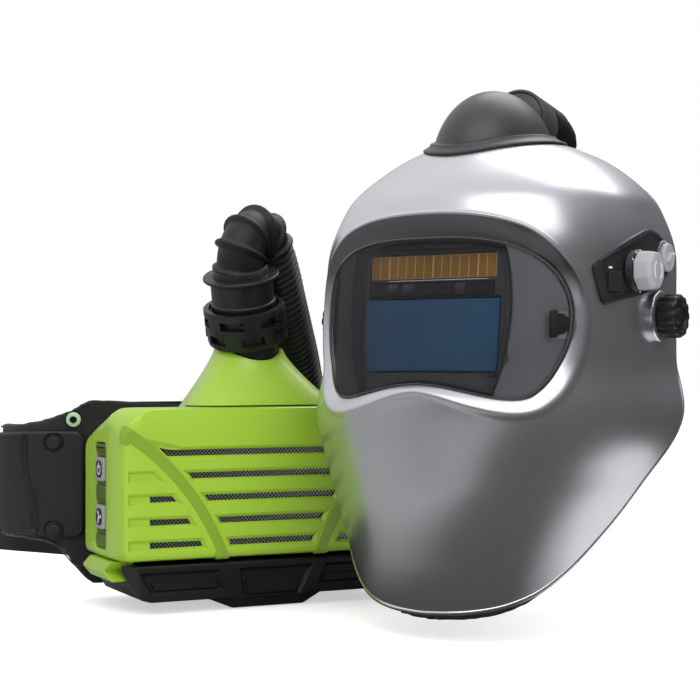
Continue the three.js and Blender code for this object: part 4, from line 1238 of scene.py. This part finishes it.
def tube(points, radius, sides=10):
    """A round bead along points."""
    path = np.array([tuple(p) for p in points])
    tangents = np.gradient(path, axis=0)
    tangents /= np.linalg.norm(tangents, axis=1)[:, None]
    side = np.cross(tangents[0], (0.3, 0.5, 0.8))
    rings = []
    for point, tangent in zip(path, tangents):
        side = side - tangent * np.dot(side, tangent)
        side /= np.linalg.norm(side)
        other = np.cross(tangent, side)
        ring = [point + radius * (side * math.cos(a) + other * math.sin(a)) for a in around(sides)]
        rings.append(ring)
    return loft(rings)


def helmet_shell():
    columns, rows = 150, 84
    u, v = np.meshgrid(np.linspace(-1, 1, columns + 1), np.linspace(0, 1, rows + 1), indexing="ij")
    degrees = u * SHELL_REACH
    height = CROWN - (CROWN - RIM(np.abs(degrees))) * (1 - v) ** 1.35
    height[:, -1] = CROWN
    outer = shell_points(degrees, height, 0).reshape(-1, 3)
    inner = shell_points(degrees, height, -SHELL).reshape(-1, 3)
    faces = sheet_faces(columns, rows)
    count = len(outer)
    kinds = [0 if max(face) < count else 1 if min(face) >= count else 2 for face in faces]
    shell = make("helmet_shell_detail", ([*outer, *inner], faces), HELMET, kinds)
    opening = make("opening", bezel_cutter(), HELMET)
    air = make("air", prism(circle(15, 40, 0, 16), "z", 270, 330), HELMET)
    for tool in (opening, air):
        tool.data.materials.append(shell_inside)
    for look in (silver, shell_inside, silver_edge):
        shell.data.materials.append(look)
    carve(shell, opening, air)
    finish_piece(shell, None, "unit", ["helmet_shell"], 40)
    bezel()
    # A rolled edge along the rim and up both rear edges.
    line = [on_shell(-SHELL_REACH, h, -1.2) for h in np.linspace(300, float(RIM(SHELL_REACH)) + 3, 60)]
    line += [on_shell(d, float(RIM(abs(d))), -1.2) for d in np.linspace(-SHELL_REACH, SHELL_REACH, 170)]
    line += [on_shell(SHELL_REACH, h, -1.2) for h in np.linspace(float(RIM(SHELL_REACH)) + 3, 300, 60)]
    line = [Vector(p) for p in line]
    for _ in range(2):
        line = [line[0]] + [(a + b * 2 + c) / 4 for a, b, c in zip(line, line[1:], line[2:])] + [line[-1]]
    edge = make("helmet_shell_rim", tube(line, 1.75), HELMET)
    finish_piece(edge, silver_edge, "unit", angle=80)
    y, z = PIVOT
    boss = [(5, 108), (15.4, 108), (16.2, 115.6), (16.2, 116.6), (15.6, 117.4), (13.9, 117.6), (5, 117.6)]
    for side, axis in (("left", (1, 0, 0)), ("right", (-1, 0, 0))):
        place = along(HELMET, (0, y, z), axis)
        seat = make(f"helmet_shell_boss_{side}", turned(boss, 64), place)
        finish_piece(seat, silver_edge, "unit", angle=50)


# ---------------------------------------------------------------- visor
SEAM_LINE = curve_table([
    (100, 20), (130, 23.5), (150, 27.5), (173, 29.8), (190, 30.4), (207, 30.0), (227, 28.2), (250, 25),
])


def edge_degrees(height, scale):
    """How far round the visor's edge lies at a height, scaled about the visor's middle."""
    rise = (height - VISOR_HEIGHT) / scale
    tall = abs(rise) / (50 if rise > 0 else 63)
    return scale * 49.5 * max(0.0, 1 - min(1.0, tall) ** 2) ** (1 / 3)


def visor():
    lens = make("cover_lens_detail", visor_patch(0, 0.985, -3.0, -4.6, 144, 20), HELMET)
    slot = shell_patch(41, 47.5, 168.4, 185.6, 12, -12, 2, 2)
    carve(lens, make("slot", slot, HELMET))
    finish_piece(lens, smoke, "unit", ["cover_lens"], 60)
    for name, start, end, outer, inner, look in (
        ("lens_gasket_detail", 0.955, 1.035, -5.2, -7.0, dark_print),
        ("cover_lens_edge", 0.972, 0.986, -2.75, -3.4, lens_edge),
    ):
        gasket = make(name, visor_patch(start, end, outer, inner, 144, 2), HELMET)
        replaced = ["lens_gasket"] if name.startswith("lens") else []
        finish_piece(gasket, look, "unit", replaced, 50)
    for side, word in ((1, "left"), (-1, "right")):
        low, high = 126, 229

        def surface(u, v, face):
            z = low + (high - low) * v
            start = float(SEAM_LINE(z))
            end = max(start + 0.4, edge_degrees(z, 0.985))
            degrees = start + (end - start) * u
            lip = 1.2 * float(smooth_steps(0.0, 0.03, u))
            return on_shell(side * degrees, z, -6.4 if face else -6.0 + lip * 0.8)

        cheek = make(f"visor_cheek_{word}", sheet(40, 48, surface), HELMET)
        finish_piece(cheek, cheek_grey, "unit", angle=50)
        for shift in (0.0, 1.5):
            heights = np.linspace(132, 226, 48)
            line = [on_shell(side * (float(SEAM_LINE(z)) - 0.3 - shift), z, -4.7) for z in heights]
            seam = make(f"visor_seam_{word}_{int(shift)}", tube(line, 0.22, 6), HELMET)
            finish_piece(seam, dark_print, "unit", angle=80)
    surround = make("visor_surround", shell_patch(-32, 32, 108, 247, -10.5, -12, 44, 48), HELMET)
    window = make("window", prism(rounded(106, 77, 3), "y", -60, 30), FILTER)
    carve(surround, window)
    finish_piece(surround, frame_grey, "unit", angle=50)
    thumb = [(43.2, 170.5), (43.2, 183.5), (45.4, 183.0), (47.0, 180), (47.0, 174), (45.4, 171)]
    tab = hull([on_shell(d, z, o) for d, z in thumb for o in (-2.4, 1.4)])
    bar = hull([on_shell(d, z, o) for d in (41.5, 43.4) for z in (169, 185) for o in (-2.4, 2.2)])
    grip = make("lens_tab_detail", bar, HELMET)
    carve(grip, make("half", tab, HELMET), operation="UNION")
    bevelled(grip, 0.5, 2)
    finish_piece(grip, black, "lens_tab", ["lens_tab"], 40)


def welding_filter():
    outline = [(-56, 40), (-56, -30), (-52, -40), (52, -40), (56, -30), (56, 40)]
    levels = [(y, inset(outline, shrink)) for y, shrink in ((-2, 0), (-5.2, 0), (-6.2, 1.1))]
    plate = make("filter_frame_detail", stack("y", *levels), FILTER)
    cutters = []
    for (x, z, width, height) in ((0, -14.5, 97, 46), (0, 28.25, 90, 15.5)):
        levels = [(y, rounded(width + g, height + g, 1.6, x, z)) for y, g in ((-7, 3.4), (-4.6, 0), (0, 0))]
        cutters.append(make("window", stack("y", *levels), FILTER))
    cutters.append(make("bar_seat", prism(rounded(90, 9.4, 1.4, 0, 14.1), "y", -8, -5.2), FILTER))
    carve(plate, *cutters)
    finish_piece(plate, frame_grey, "unit", ["filter_frame"], 30)
    levels = [(y, rounded(89.4 - g, 8.8 - g, 1.2, 0, 14.1)) for y, g in ((-4.8, 0), (-5.9, 0), (-6.3, 0.7))]
    bar = make("filter_sensor_bar", stack("y", *levels), FILTER)
    finish_piece(bar, sensor_bar, "unit", angle=30)
    for number, x in enumerate((-27, -15.5, 21)):
        levels = [(y, rounded(8.2 - g, 7 - g, 1.0, x, 14.1)) for y, g in ((-5.6, 0), (-6.45, 0), (-6.6, 0.5))]
        eye = make(f"filter_sensor_{number}", stack("y", *levels), FILTER)
        finish_piece(eye, sensor_glass, "unit", angle=30)
    thread = prism([(-30, 19.35), (40, 19.35), (40, 19.75), (-30, 19.75)], "y", -6.35, -6.1)
    finish_piece(make("filter_sensor_line", thread, FILTER), pale_print, "unit")
    backing = block((-44.5, -4.3, 21), (44.5, -2.2, 35.5))
    backing = make("solar_panel_backing", backing, FILTER)
    finish_piece(backing, cell_line, "unit", ["solar_panel"])
    for number in range(14):
        near = -44.2 + number * 6.33 + (0.5 if number % 5 == 2 else 0)
        far = -44.2 + (number + 1) * 6.33 - 0.6
        levels = []
        for y, g in ((-3.9, 0), (-4.4, 0), (-4.5, 0.1)):
            left, right, low, high = near + g, far - g, 21.3 + g, 35.2 - g
            levels.append((y, [(left, low), (right, low), (right, high), (left, high)]))
        cell = make(f"solar_panel_cell_{number}", stack("y", *levels), FILTER)
        finish_piece(cell, amber_cell, "unit", angle=30)
    soften("filter_glass", blue_glass, "unit", 0.5, 2)
    soften("filter_cartridge", black, "unit", 1.2, 2)


shell_inside = moulded("shell_inside", (0.022, 0.022, 0.024), 0.62, variation=0.2)
frame_grey = moulded("frame_grey", (0.062, 0.062, 0.066), 0.4, grain=700, depth=0, variation=0.05)
cheek_grey = moulded("cheek_grey", (0.155, 0.155, 0.162), 0.34, grain=700, depth=0, variation=0.05, coat=0.2)
lens_edge = moulded("lens_edge", (0.055, 0.055, 0.058), 0.12, grain=900, depth=0, variation=0.05, coat=0.5)
sensor_bar = moulded("sensor_bar", (0.008, 0.008, 0.010), 0.3, grain=800, depth=0, coat=0.2)
helmet_shell()
visor()
welding_filter()


# ---------------------------------------------------------------- air duct on the crown
def outside_shell(point):
    """Above zero where a point of the crown lies outside the shell."""
    if point.z >= CROWN:
        return 1.0
    width, middle = float(SHELL_WIDTH(point.z)), float(SHELL_MIDDLE(point.z))
    length = float(SHELL_FRONT(point.z)) + middle if point.y < middle else 0.9 * width
    power = float(SQUARENESS(point.z))
    return (abs(point.x) / width) ** power + (abs(point.y - middle) / length) ** power - 1


def duct_cap():
    middle, radii = Vector((0, -5, 281)), (38, 52, 52.5)
    rings_count, sides = 26, 96
    rings = [[] for _ in range(rings_count + 8)]
    for i in range(sides):
        theta = 2 * math.pi * i / sides
        on_dome = lambda a: middle + Vector((
            radii[0] * math.sin(a) * math.sin(theta),
            -radii[1] * math.sin(a) * math.cos(theta),
            radii[2] * math.cos(a),
        ))
        low, high = 0.2, 2.2
        for _ in range(30):
            half = (low + high) / 2
            low, high = (half, high) if outside_shell(on_dome(half)) > 0 else (low, half)
        foot = on_dome(low)
        normal = (foot - Vector((0, 10, 165))).normalized()
        out = Vector((math.sin(theta) / radii[0], -math.cos(theta) / radii[1], 0)).normalized()
        out = (out - normal * out.dot(normal)).normalized()
        rear = 1 + 0.7 * max(0.0, -math.cos(theta))
        last = low - 0.10
        for k in range(rings_count):
            rings[k].append(on_dome(last * (k + 0.02) / (rings_count - 1)))
        for k, (spread, lift) in enumerate(((0.5, 4.2), (1.8, 2.9), (4.2, 2.2), (6.0, 2.0), (6.8, 1.4), (6.9, 0.3))):
            rings[rings_count + k].append(foot + out * spread * rear + normal * (lift * (0.75 + 0.25 * rear)))
        rings[rings_count + 6].append(foot - out * 1.5 + normal * 0.3)
        inside = on_dome(last)
        rings[rings_count + 7].append(middle + (inside - middle) * 0.93 + normal * 1.0)
    inner = [[middle + (p - middle) * 0.93 for p in ring] for ring in rings[:rings_count][::-1]]
    cap = make("duct_cap_detail", loft(rings + inner), HELMET)
    bore = make("bore", turned([(0.01, -30.6), (18.4, -30.6), (18.4, 10), (0.01, 10)], 64), DUCT)
    carve(cap, bore)
    finish_piece(cap, cap_grey, "unit", ["duct_cap"], 40)
    wall = [(0.01, -31.5), (9, -31.3), (15, -30.4), (17.6, -29.2)]
    for i in range(6):
        wall += [(18.6, -30 + i * 4.6), (20.2, -28.8 + i * 4.6), (20.2, -27.2 + i * 4.6), (18.6, -26 + i * 4.6)]
    wall += [
        (18.6, -2.2), (19.2, -1.4), (19.2, -0.2), (18, 0), (17.8, -8), (17.4, -26), (14, -28), (0.01, -29),
    ]
    collar = make("duct_cap_collar", turned(wall, 72), DUCT)
    levels = [210 + (305.9 - 210) * t ** 0.7 for t in np.linspace(0, 1, 24)]
    turns = np.linspace(-180, 180, 60, False)
    crown = make("crown", loft([[on_shell(a, h, 0.7) for a in turns] for h in levels]), HELMET)
    carve(collar, crown)
    finish_piece(collar, cap_grey, "unit", angle=40)
    cuff = [
        (15, -12), (17.6, -12), (17.6, 0.4), (19.8, 0.4), (20.3, 1.0), (20.3, 3.4), (19.8, 4.4), (19.2, 5.2),
    ]
    for i in range(4):
        cuff += [(19.2, 7.4 + i * 4), (20.3, 8.8 + i * 4), (20.3, 9.8 + i * 4), (19.2, 11.2 + i * 4)]
    cuff += [(18.6, 23), (15, 23)]
    finish_piece(
        make("hose_cuff_upper_detail", turned(cuff, 72), DUCT),
        hose_rubber, "helmet_cuff", ["hose_cuff_upper"], 40,
    )


cap_grey = moulded("cap_grey", (0.034, 0.034, 0.037), 0.42, grain=1800, depth=0.04, variation=0.08)
duct_cap()
keep("air_channel", charcoal)


# ---------------------------------------------------------------- controls on the wearer's left side
def rounded_outline(corners):
    """A closed outline through corners given as x, y and how much of each side the rounding takes."""
    points = []
    for i, (x, y, radius) in enumerate(corners):
        here = Vector((x, y))
        before, after = Vector(corners[i - 1][:2]), Vector(corners[(i + 1) % len(corners)][:2])
        start = here + (before - here).normalized() * min(radius, (before - here).length * 0.49)
        end = here + (after - here).normalized() * min(radius, (after - here).length * 0.49)
        for t in np.linspace(0, 1, 9).tolist():
            points.append(start * (1 - t) ** 2 + here * 2 * t * (1 - t) + end * t**2)
    return points


def beside_shell(y, z, offset):
    """The point of the shell's left side at a depth and height."""
    low, high = 20.0, 106.0
    for _ in range(24):
        half = (low + high) / 2
        low, high = (half, high) if on_shell(half, z).y < y else (low, half)
    return on_shell(low, z, offset)


PANEL = [(-63, 213, 4), (-58, 188, 5), (0, 201, 22), (21, 221, 13), (-6, 238, 12), (-38, 228, 16)]
SHADE, DIAL = (-33, 210), (2, 220)


def side_panel():
    outline = rounded_outline(PANEL)
    centre = Vector((-25, 213))
    rings = []
    for shrink, offset in (
        (0, 0.3), (0, 2.6), (0.9, 3.8), (3.2, 4.5), (4.6, 4.4), (5.2, 3.6), (9, 3.7), (16, 3.8), (22, 3.9),
    ):
        ring = []
        for point in outline:
            away = point - centre
            spot = centre + away * max(0.04, 1 - shrink / away.length)
            ring.append(beside_shell(spot.x, spot.y, offset))
        rings.append(ring)
    panel = make("side_panel_detail", loft(rings), HELMET)
    finish_piece(panel, soft_black, "unit", ["side_panel"], 28)
    for name, (y, z), radius, low, high in (
        ("shade", SHADE, 13.2, 110, 114.2),
        ("dial", DIAL, 10.8, 108, 115.8),
    ):
        place = along(HELMET, (0, y, z), (1, 0, 0))
        seat = turned(
            [(0.01, low), (radius, low), (radius, high - 0.8), (radius - 0.6, high), (0.01, high)], 64
        )
        finish_piece(
            make(f"side_panel_seat_{name}", seat, place),
            soft_black, "unit", angle=30,
        )
    marks = []
    for i in range(9):
        angle = math.radians(-60 + i * 30)
        marks.append(hull([
            Vector((114.1 + dx, SHADE[0] + r * math.sin(angle + a), SHADE[1] + r * math.cos(angle + a)))
            for dx in (0, 0.3) for r in (12.25, 13.1) for a in (-0.05, 0.05)
        ]))
    for i in range(26):
        angle = math.radians(-120 + i * 9.2)
        size = 0.028
        marks.append(hull([
            Vector((115.7 + dx, DIAL[0] + r * math.sin(angle + a), DIAL[1] + r * math.cos(angle + a)))
            for dx in (0, 0.3) for r in (9.6, 10.5) for a in (-size, size)
        ]))
    finish_piece(make("side_panel_marks", merge(*marks), HELMET), pale_print, "unit")
    label = hull([beside_shell(y, z, o) for y in (-53.6, -51.4) for z in (209.4, 210.4) for o in (3.2, 4.3)])
    finish_piece(make("side_panel_label", label, HELMET), pale_print, "unit")
    well = hull([beside_shell(y, z, o) for y in (-57.2, -49.6) for z in (194, 208) for o in (3.0, 4.05)])
    finish_piece(make("side_panel_well", well, HELMET), dark_print, "unit")
    soften("mode_slider", soft_black, "mode_slider", 0.5, 2)


def along_x(side, y, z):
    return along(HELMET, (0, y, z), (side, 0, 0))


def shade_knob():
    place = along_x(1, *SHADE)

    def ring(radius, x, turn=0.0):
        return [(radius * math.cos(a + turn), radius * math.sin(a + turn), x) for a in around(8)]

    turn = math.radians(22.5)
    levels = ((12.6, 114.6), (12.9, 115.4), (12.4, 123.0), (11.2, 125.4), (9.8, 126))
    body = make("shade_knob_detail", loft([ring(radius, height, turn) for radius, height in levels]), place)
    bevelled(body, 0.5, 2, 12)
    groove = [make("groove", block((-14, -0.4, 125.2), (14, 0.4, 128)), place)]
    for low, high in ((-14, -11.4), (11.4, 14)):
        groove.append(make("groove", block((low, -0.35, 116), (high, 0.35, 128)), place))
    carve(body, *groove)
    finish_piece(body, knob_grey, "shade_knob", ["shade_knob"], 24)
    for number, start in enumerate((0.55, 0.55 + math.pi)):
        arcs = []
        for a in np.linspace(start, start + 1.9, 14):
            section = ((5.2, 125.9), (6.2, 125.9), (6.2, 126.15), (5.2, 126.15))
            arcs.append([(r * math.cos(a), r * math.sin(a), x) for r, x in section])
        finish_piece(
            make(f"shade_knob_arc_{number}", loft(arcs), place),
            pale_print, "shade_knob",
        )


def sensitivity_dial():
    place = along_x(1, *DIAL)
    wall = [
        (0.01, 116.2), (8.8, 116.2), (9.0, 116.8), (9.0, 118.4), (8.5, 119.2), (7.2, 119.5), (6.9, 119.0),
        (0.01, 118.8),
    ]
    base = turned(wall, 64)
    dial = make("sensitivity_dial_detail", base, place)
    tilt = math.radians(28)
    turn = Matrix.Rotation(tilt, 4, "Z")
    lower = [(0, 8.2), (3.6, 0), (0, -8.2), (-3.6, 0)]
    upper = [(0, 6.4), (1.8, 0), (0, -6.4), (-1.8, 0)]
    grip = hull(
        [turn @ Vector((x, y, 118)) for x, y in lower] + [turn @ Vector((x, y, 121.4)) for x, y in upper]
    )
    carve(dial, make("grip", grip, place), operation="UNION")
    finish_piece(dial, knob_grey, "sensitivity_dial", ["sensitivity_dial"], 24)


def fluted(radius, depth, count, profile):
    """A knob whose wall is fluted; the profile gives each ring's radius share, height and flute share."""
    rings = []
    for share, height, flute in profile:
        ring = []
        for a in around(192):
            scallop = (0.5 - 0.5 * math.cos(count * a)) ** 2.2
            r = radius * share - depth * flute * scallop
            ring.append((r * math.cos(a), r * math.sin(a), height))
        rings.append(ring)
    return loft(rings)


def tilt_knobs():
    for name, side in (("left", 1), ("right", -1)):
        place = along_x(side, *PIVOT)
        profile = [
            (0.90, 118, 1), (0.97, 118.5, 1), (1.0, 119.3, 1), (1.0, 128.2, 1), (0.98, 129.3, 1),
            (0.93, 130, 0.8), (0.80, 130.2, 0.2), (0.74, 129.8, 0), (0.70, 127.6, 0), (0.42, 127.2, 0),
            (0.38, 128.6, 0), (0.30, 129.2, 0),
            (0.10, 129.4, 0),
        ]
        knob = make(f"tilt_knob_{name}_detail", fluted(13.6, 1.5, 12, profile), place)
        finish_piece(knob, black, f"tilt_knob_{name}", [f"tilt_knob_{name}"], 40)
        for number in range(3):
            a = 2 * math.pi * number / 3 + 0.4
            dot = prism(rounded(2.6, 1.0, 0.4, 7.6 * math.cos(a), 7.6 * math.sin(a)), "z", 127.2, 127.9)
            finish_piece(
                make(f"tilt_knob_{name}_dot_{number}", dot, place),
                soft_black, f"tilt_knob_{name}",
            )


side_panel()
shade_knob()
sensitivity_dial()
tilt_knobs()


# ---------------------------------------------------------------- headgear
BAND = {"y": 32, "half_x": 80, "half_y": 82, "height": 26}


def band_height(y):
    return 190 + 22 * (BAND["y"] - y) / BAND["half_y"]


def band_point(angle, offset, rise):
    c, s = math.cos(angle), math.sin(angle)
    y = BAND["y"] - (BAND["half_y"] + offset) * c
    return Vector(((BAND["half_x"] + offset) * s, y, band_height(BAND["y"] - BAND["half_y"] * c) + rise))


def headgear():
    def ring(u, v, side):
        angle = u * 2 * math.pi
        ridge = 0.5 * math.cos(2 * math.pi * v * 2) if not side else 0
        edge = 0.7 * (2 * v - 1) ** 6
        return band_point(angle, (-1.1 + edge * 0.4) if side else (1.0 + ridge - edge), (v - 0.5) * BAND["height"])

    band = make("headband_detail", sheet(160, 20, ring, ring=True), HELMET)
    holes = []
    for sign in (1, -1):
        for i in range(7):
            angle = sign * math.radians(62 + i * 9)
            spot = band_point(angle, 0, 0)
            out = band_point(angle, 5, 0) - spot
            drill = turned([(0.01, -6), (2.0, -6), (2.0, 6), (0.01, 6)], 20)
            holes.append(make("hole", drill, along(HELMET, spot, out)))
    carve(band, *holes)
    finish_piece(band, charcoal, "headgear", ["headband"], 40)
    y, z = PIVOT
    for word, side in (("left", 1), ("right", -1)):
        parts = [
            hull(
                [Vector((side * x, b, c)) for x in (69, 102.5) for b in (y - 6, y + 6) for c in (z + 8.5, z + 17.5)]
            ),
            hull(
                [Vector((side * x, b, c)) for x in (99.4, 102.5) for b in (y - 6, y + 6) for c in (z, z + 17.5)]
            ),
        ]
        arm = make(f"headband_arm_{word}", parts[0], HELMET)
        disc_place = along(HELMET, (0, y, z), (side, 0, 0))
        disc = turned([(4.4, 99.4), (11, 99.4), (11, 102.5), (4.4, 102.5)], 48)
        tools = [make("leg", parts[1], HELMET), make("disc", disc, disc_place)]
        carve(arm, *tools, operation="UNION")
        carve(arm, make("hole", turned([(0.01, 90), (4.3, 90), (4.3, 110), (0.01, 110)], 32), disc_place))
        finish_piece(arm, charcoal, "headgear", angle=30)
        weighted(arm)
    rear = BAND["y"] + BAND["half_y"]
    mount = make("headband_mount", prism(rounded(52, 26, 7, 0, 168), "y", rear - 2.8, rear + 2.8), HELMET)
    bevelled(mount, 0.8, 2, 50)
    finish_piece(mount, charcoal, "headgear", angle=40)
    for name, y0, top in (("front", 12, 275), ("rear", 45, 275)):
        foot = band_height(y0) + BAND["height"] / 2

        def strap(u, v, side):
            across = y0 + (v - 0.5) * 16
            thickness = 0.1 if side else 1.5 - 0.5 * (2 * v - 1) ** 8
            half = BAND["half_x"] * math.sqrt(1 - ((across - BAND["y"]) / BAND["half_y"]) ** 2) + 1.7 + thickness
            reach = -0.12 + 1.24 * u
            turn = math.pi * min(1, max(0, reach))
            drop = max(0, -reach, reach - 1) * 130
            rise = (top - foot + thickness) * math.sin(turn)
            return Vector((half * math.cos(turn), across, foot + rise - drop))

        piece = make(f"crown_strap_{name}_detail", sheet(96, 10, strap), HELMET)
        finish_piece(piece, charcoal, "headgear", [f"crown_strap_{name}"], 40)
    pad = make("sweatband_cushion", sheet(
        70,
        10,
        lambda u, v, side: band_point((2 * u - 1) * math.radians(56), -5.0 if side else -2.2, (v - 0.5) * 22),
    ), HELMET)
    modify(pad, "REMESH", mode="VOXEL", voxel_size=0.0028)
    inflate(pad, 1.6)
    modify(pad, "SUBSURF", levels=1, render_levels=1)
    finish_piece(pad, seal_cloth, "headgear", ["sweatband"], 60)
    rows = []
    for rise in (-9.3, 9.3):
        rows.append(tube([band_point(a, -5.9, rise) for a in np.linspace(-0.95, 0.95, 60)], 0.3, 6))
    finish_piece(
        make("sweatband_stitching", merge(*rows), HELMET),
        strap_cloth, "headgear", angle=60,
    )
    profile = [
        (0.86, 0, 0), (0.97, 0.6, 1), (1, 1.6, 1), (1, 11, 1), (0.97, 12.4, 0.9), (0.88, 13, 0.5), (0.74, 13, 0),
        (0.70, 12.2, 0), (0.34, 11.8, 0), (0.30, 12.6, 0), (0.08, 12.9, 0),
    ]
    place = along(HELMET, (0, rear + 3.4, 168), (0, 1, 0))
    finish_piece(
        make("ratchet_knob_detail", fluted(20, 1.7, 16, profile), place),
        black, "ratchet_knob", ["ratchet_knob"], 40,
    )
    for name in ("pivot_bolt_left", "pivot_bolt_right"):
        keep(name, black)


def face_seal():
    """A gathered cloth skirt inside the chin."""
    columns, rows = 220, 16
    points = []
    for side in (0, 1):
        for i in range(columns + 1):
            degrees = (2 * i / columns - 1) * 80
            rim = float(RIM(abs(degrees)))
            for j in range(rows + 1):
                v = j / rows
                z = rim - 5 + 51 * v
                wave = math.sin(math.radians(degrees) * 46 + 1.3 * math.sin(degrees * 0.31))
                gather = 1.4 * (1 - v) * wave * min(1, (80 - abs(degrees)) / 6)
                inward = 6.4 + 14 * (1 - v) ** 1.3 + gather + (0.9 if side else 0)
                point = on_shell(degrees, max(z, rim), -inward)
                points.append((point.x, point.y, z + (0.4 if j == 0 else 0)))
    seal = make("face_seal_cloth", (points, sheet_faces(columns, rows)), HELMET)
    finish_piece(seal, seal_cloth, "unit", ["face_seal"], 60)
    return seal


headgear()
seal = face_seal()


# ---------------------------------------------------------------- floor and light
def plane(name, size, height, look):
    mesh = bpy.data.meshes.new(name)
    corners = [(-size, -size, height), (size, -size, height), (size, size, height), (-size, size, height)]
    mesh.from_pydata(corners, [], [(0, 1, 2, 3)])
    obj = bpy.data.objects.new(name, mesh)
    scene.collection.objects.link(obj)
    obj.data.materials.append(look)
    return obj


CAMERA_RIGHT, CAMERA_AHEAD = Vector((0.899, -0.438, 0)), Vector((0.438, 0.899, 0))


def floor_material():
    """A pale matt floor, white to the camera; to reflections it gives a painted dark reflection with a painted
    highlight spot, so the shell mirrors it dark, with a bright spot on its right.
    """
    material, tree, shader = shader_material("pale_floor")
    seen, place = add(tree, "LightPath"), coordinates(tree)
    across = add(tree, "VectorMath", {0: place, 1: CAMERA_RIGHT}, operation="DOT_PRODUCT").outputs["Value"]
    middle = HELMET.translation.dot(CAMERA_RIGHT)
    # Painted reflection: for glossy rays the floor turns dark to the camera's right, with a painted bright spot by
    # the helmet.
    stops = [(0.36, (0.40, 0.40, 0.40)), (0.44, (0.03, 0.03, 0.03))]
    painted_reflection = ramp(tree, ranged(tree, across, 0.0, 1.0, middle - 1, middle + 1), stops)
    painted_spot_middle = HELMET.translation + CAMERA_RIGHT * 0.20 - CAMERA_AHEAD * 0.04
    apart = add(tree, "VectorMath", {0: place, 1: painted_spot_middle}, operation="DISTANCE").outputs["Value"]
    painted_reflection = color_mix(tree, ranged(tree, apart, 1.0, 0.0, 0.12, 0.20), painted_reflection, (1, 1, 1, 1))
    tone = color_mix(tree, seen.outputs["Is Glossy Ray"], (0.80, 0.80, 0.80, 1), painted_reflection)
    feed(tree, shader, {"Base Color": tone, "Roughness": 0.9, "Specular IOR Level": 0.1})
    glow = add(tree, "Emission", {"Strength": ranged(tree, seen.outputs["Is Camera Ray"], 0.0, 0.52, 0.0, 1.0)})
    total = add(tree, "AddShader", {0: shader.outputs["BSDF"], 1: glow.outputs["Emission"]})
    feed(tree, tree.nodes["Material Output"], {"Surface": total.outputs["Shader"]})
    return material


def area_light(name, place, target, size, power):
    light = bpy.data.lights.new(name, "AREA")
    light.shape = "RECTANGLE"
    light.size, light.size_y = size
    light.energy = power
    obj = bpy.data.objects.new(name, light)
    obj.location = place
    obj.rotation_euler = (Vector(target) - Vector(place)).to_track_quat("-Z", "Y").to_euler()
    scene.collection.objects.link(obj)
    return obj


def studio():
    plane("floor", 6, -0.0005, floor_material())
    middle = (0, -0.05, 0.15)
    area_light("key", (-0.55, -1.3, 1.75), middle, (2.2, 0.9), 15)
    area_light("overhead", (0.95, 0.45, 1.7), middle, (1.3, 1.1), 13)
    fill = area_light("front", (-0.15, -2.1, 0.7), middle, (1.6, 1.2), 22)
    fill.visible_glossy = False
    world = bpy.data.worlds.new("studio")
    scene.world = world
    world.use_nodes = True
    tree = world.node_tree
    brightest = Vector((-0.25, 0.35, 0.85)).normalized()
    direction = add(tree, "TexCoord").outputs["Generated"]
    facing = add(tree, "VectorMath", {0: direction, 1: brightest}, operation="DOT_PRODUCT").outputs["Value"]
    sky = ramp(tree, ranged(tree, facing, 0.0, 1.0, -1.0, 1.0), [
        (0.0, (0.05, 0.05, 0.052)), (0.45, (0.07, 0.07, 0.073)), (0.64, (0.17, 0.17, 0.18)),
        (0.80, (0.80, 0.80, 0.82)), (1.0, (1.05, 1.05, 1.05)),
    ])
    color = color_mix(tree, add(tree, "LightPath").outputs["Is Camera Ray"], sky, (1, 1, 1, 1))
    feed(tree, tree.nodes["Background"], {"Color": color, "Strength": 1.0})
    scene.view_settings.view_transform = "Standard"


studio()
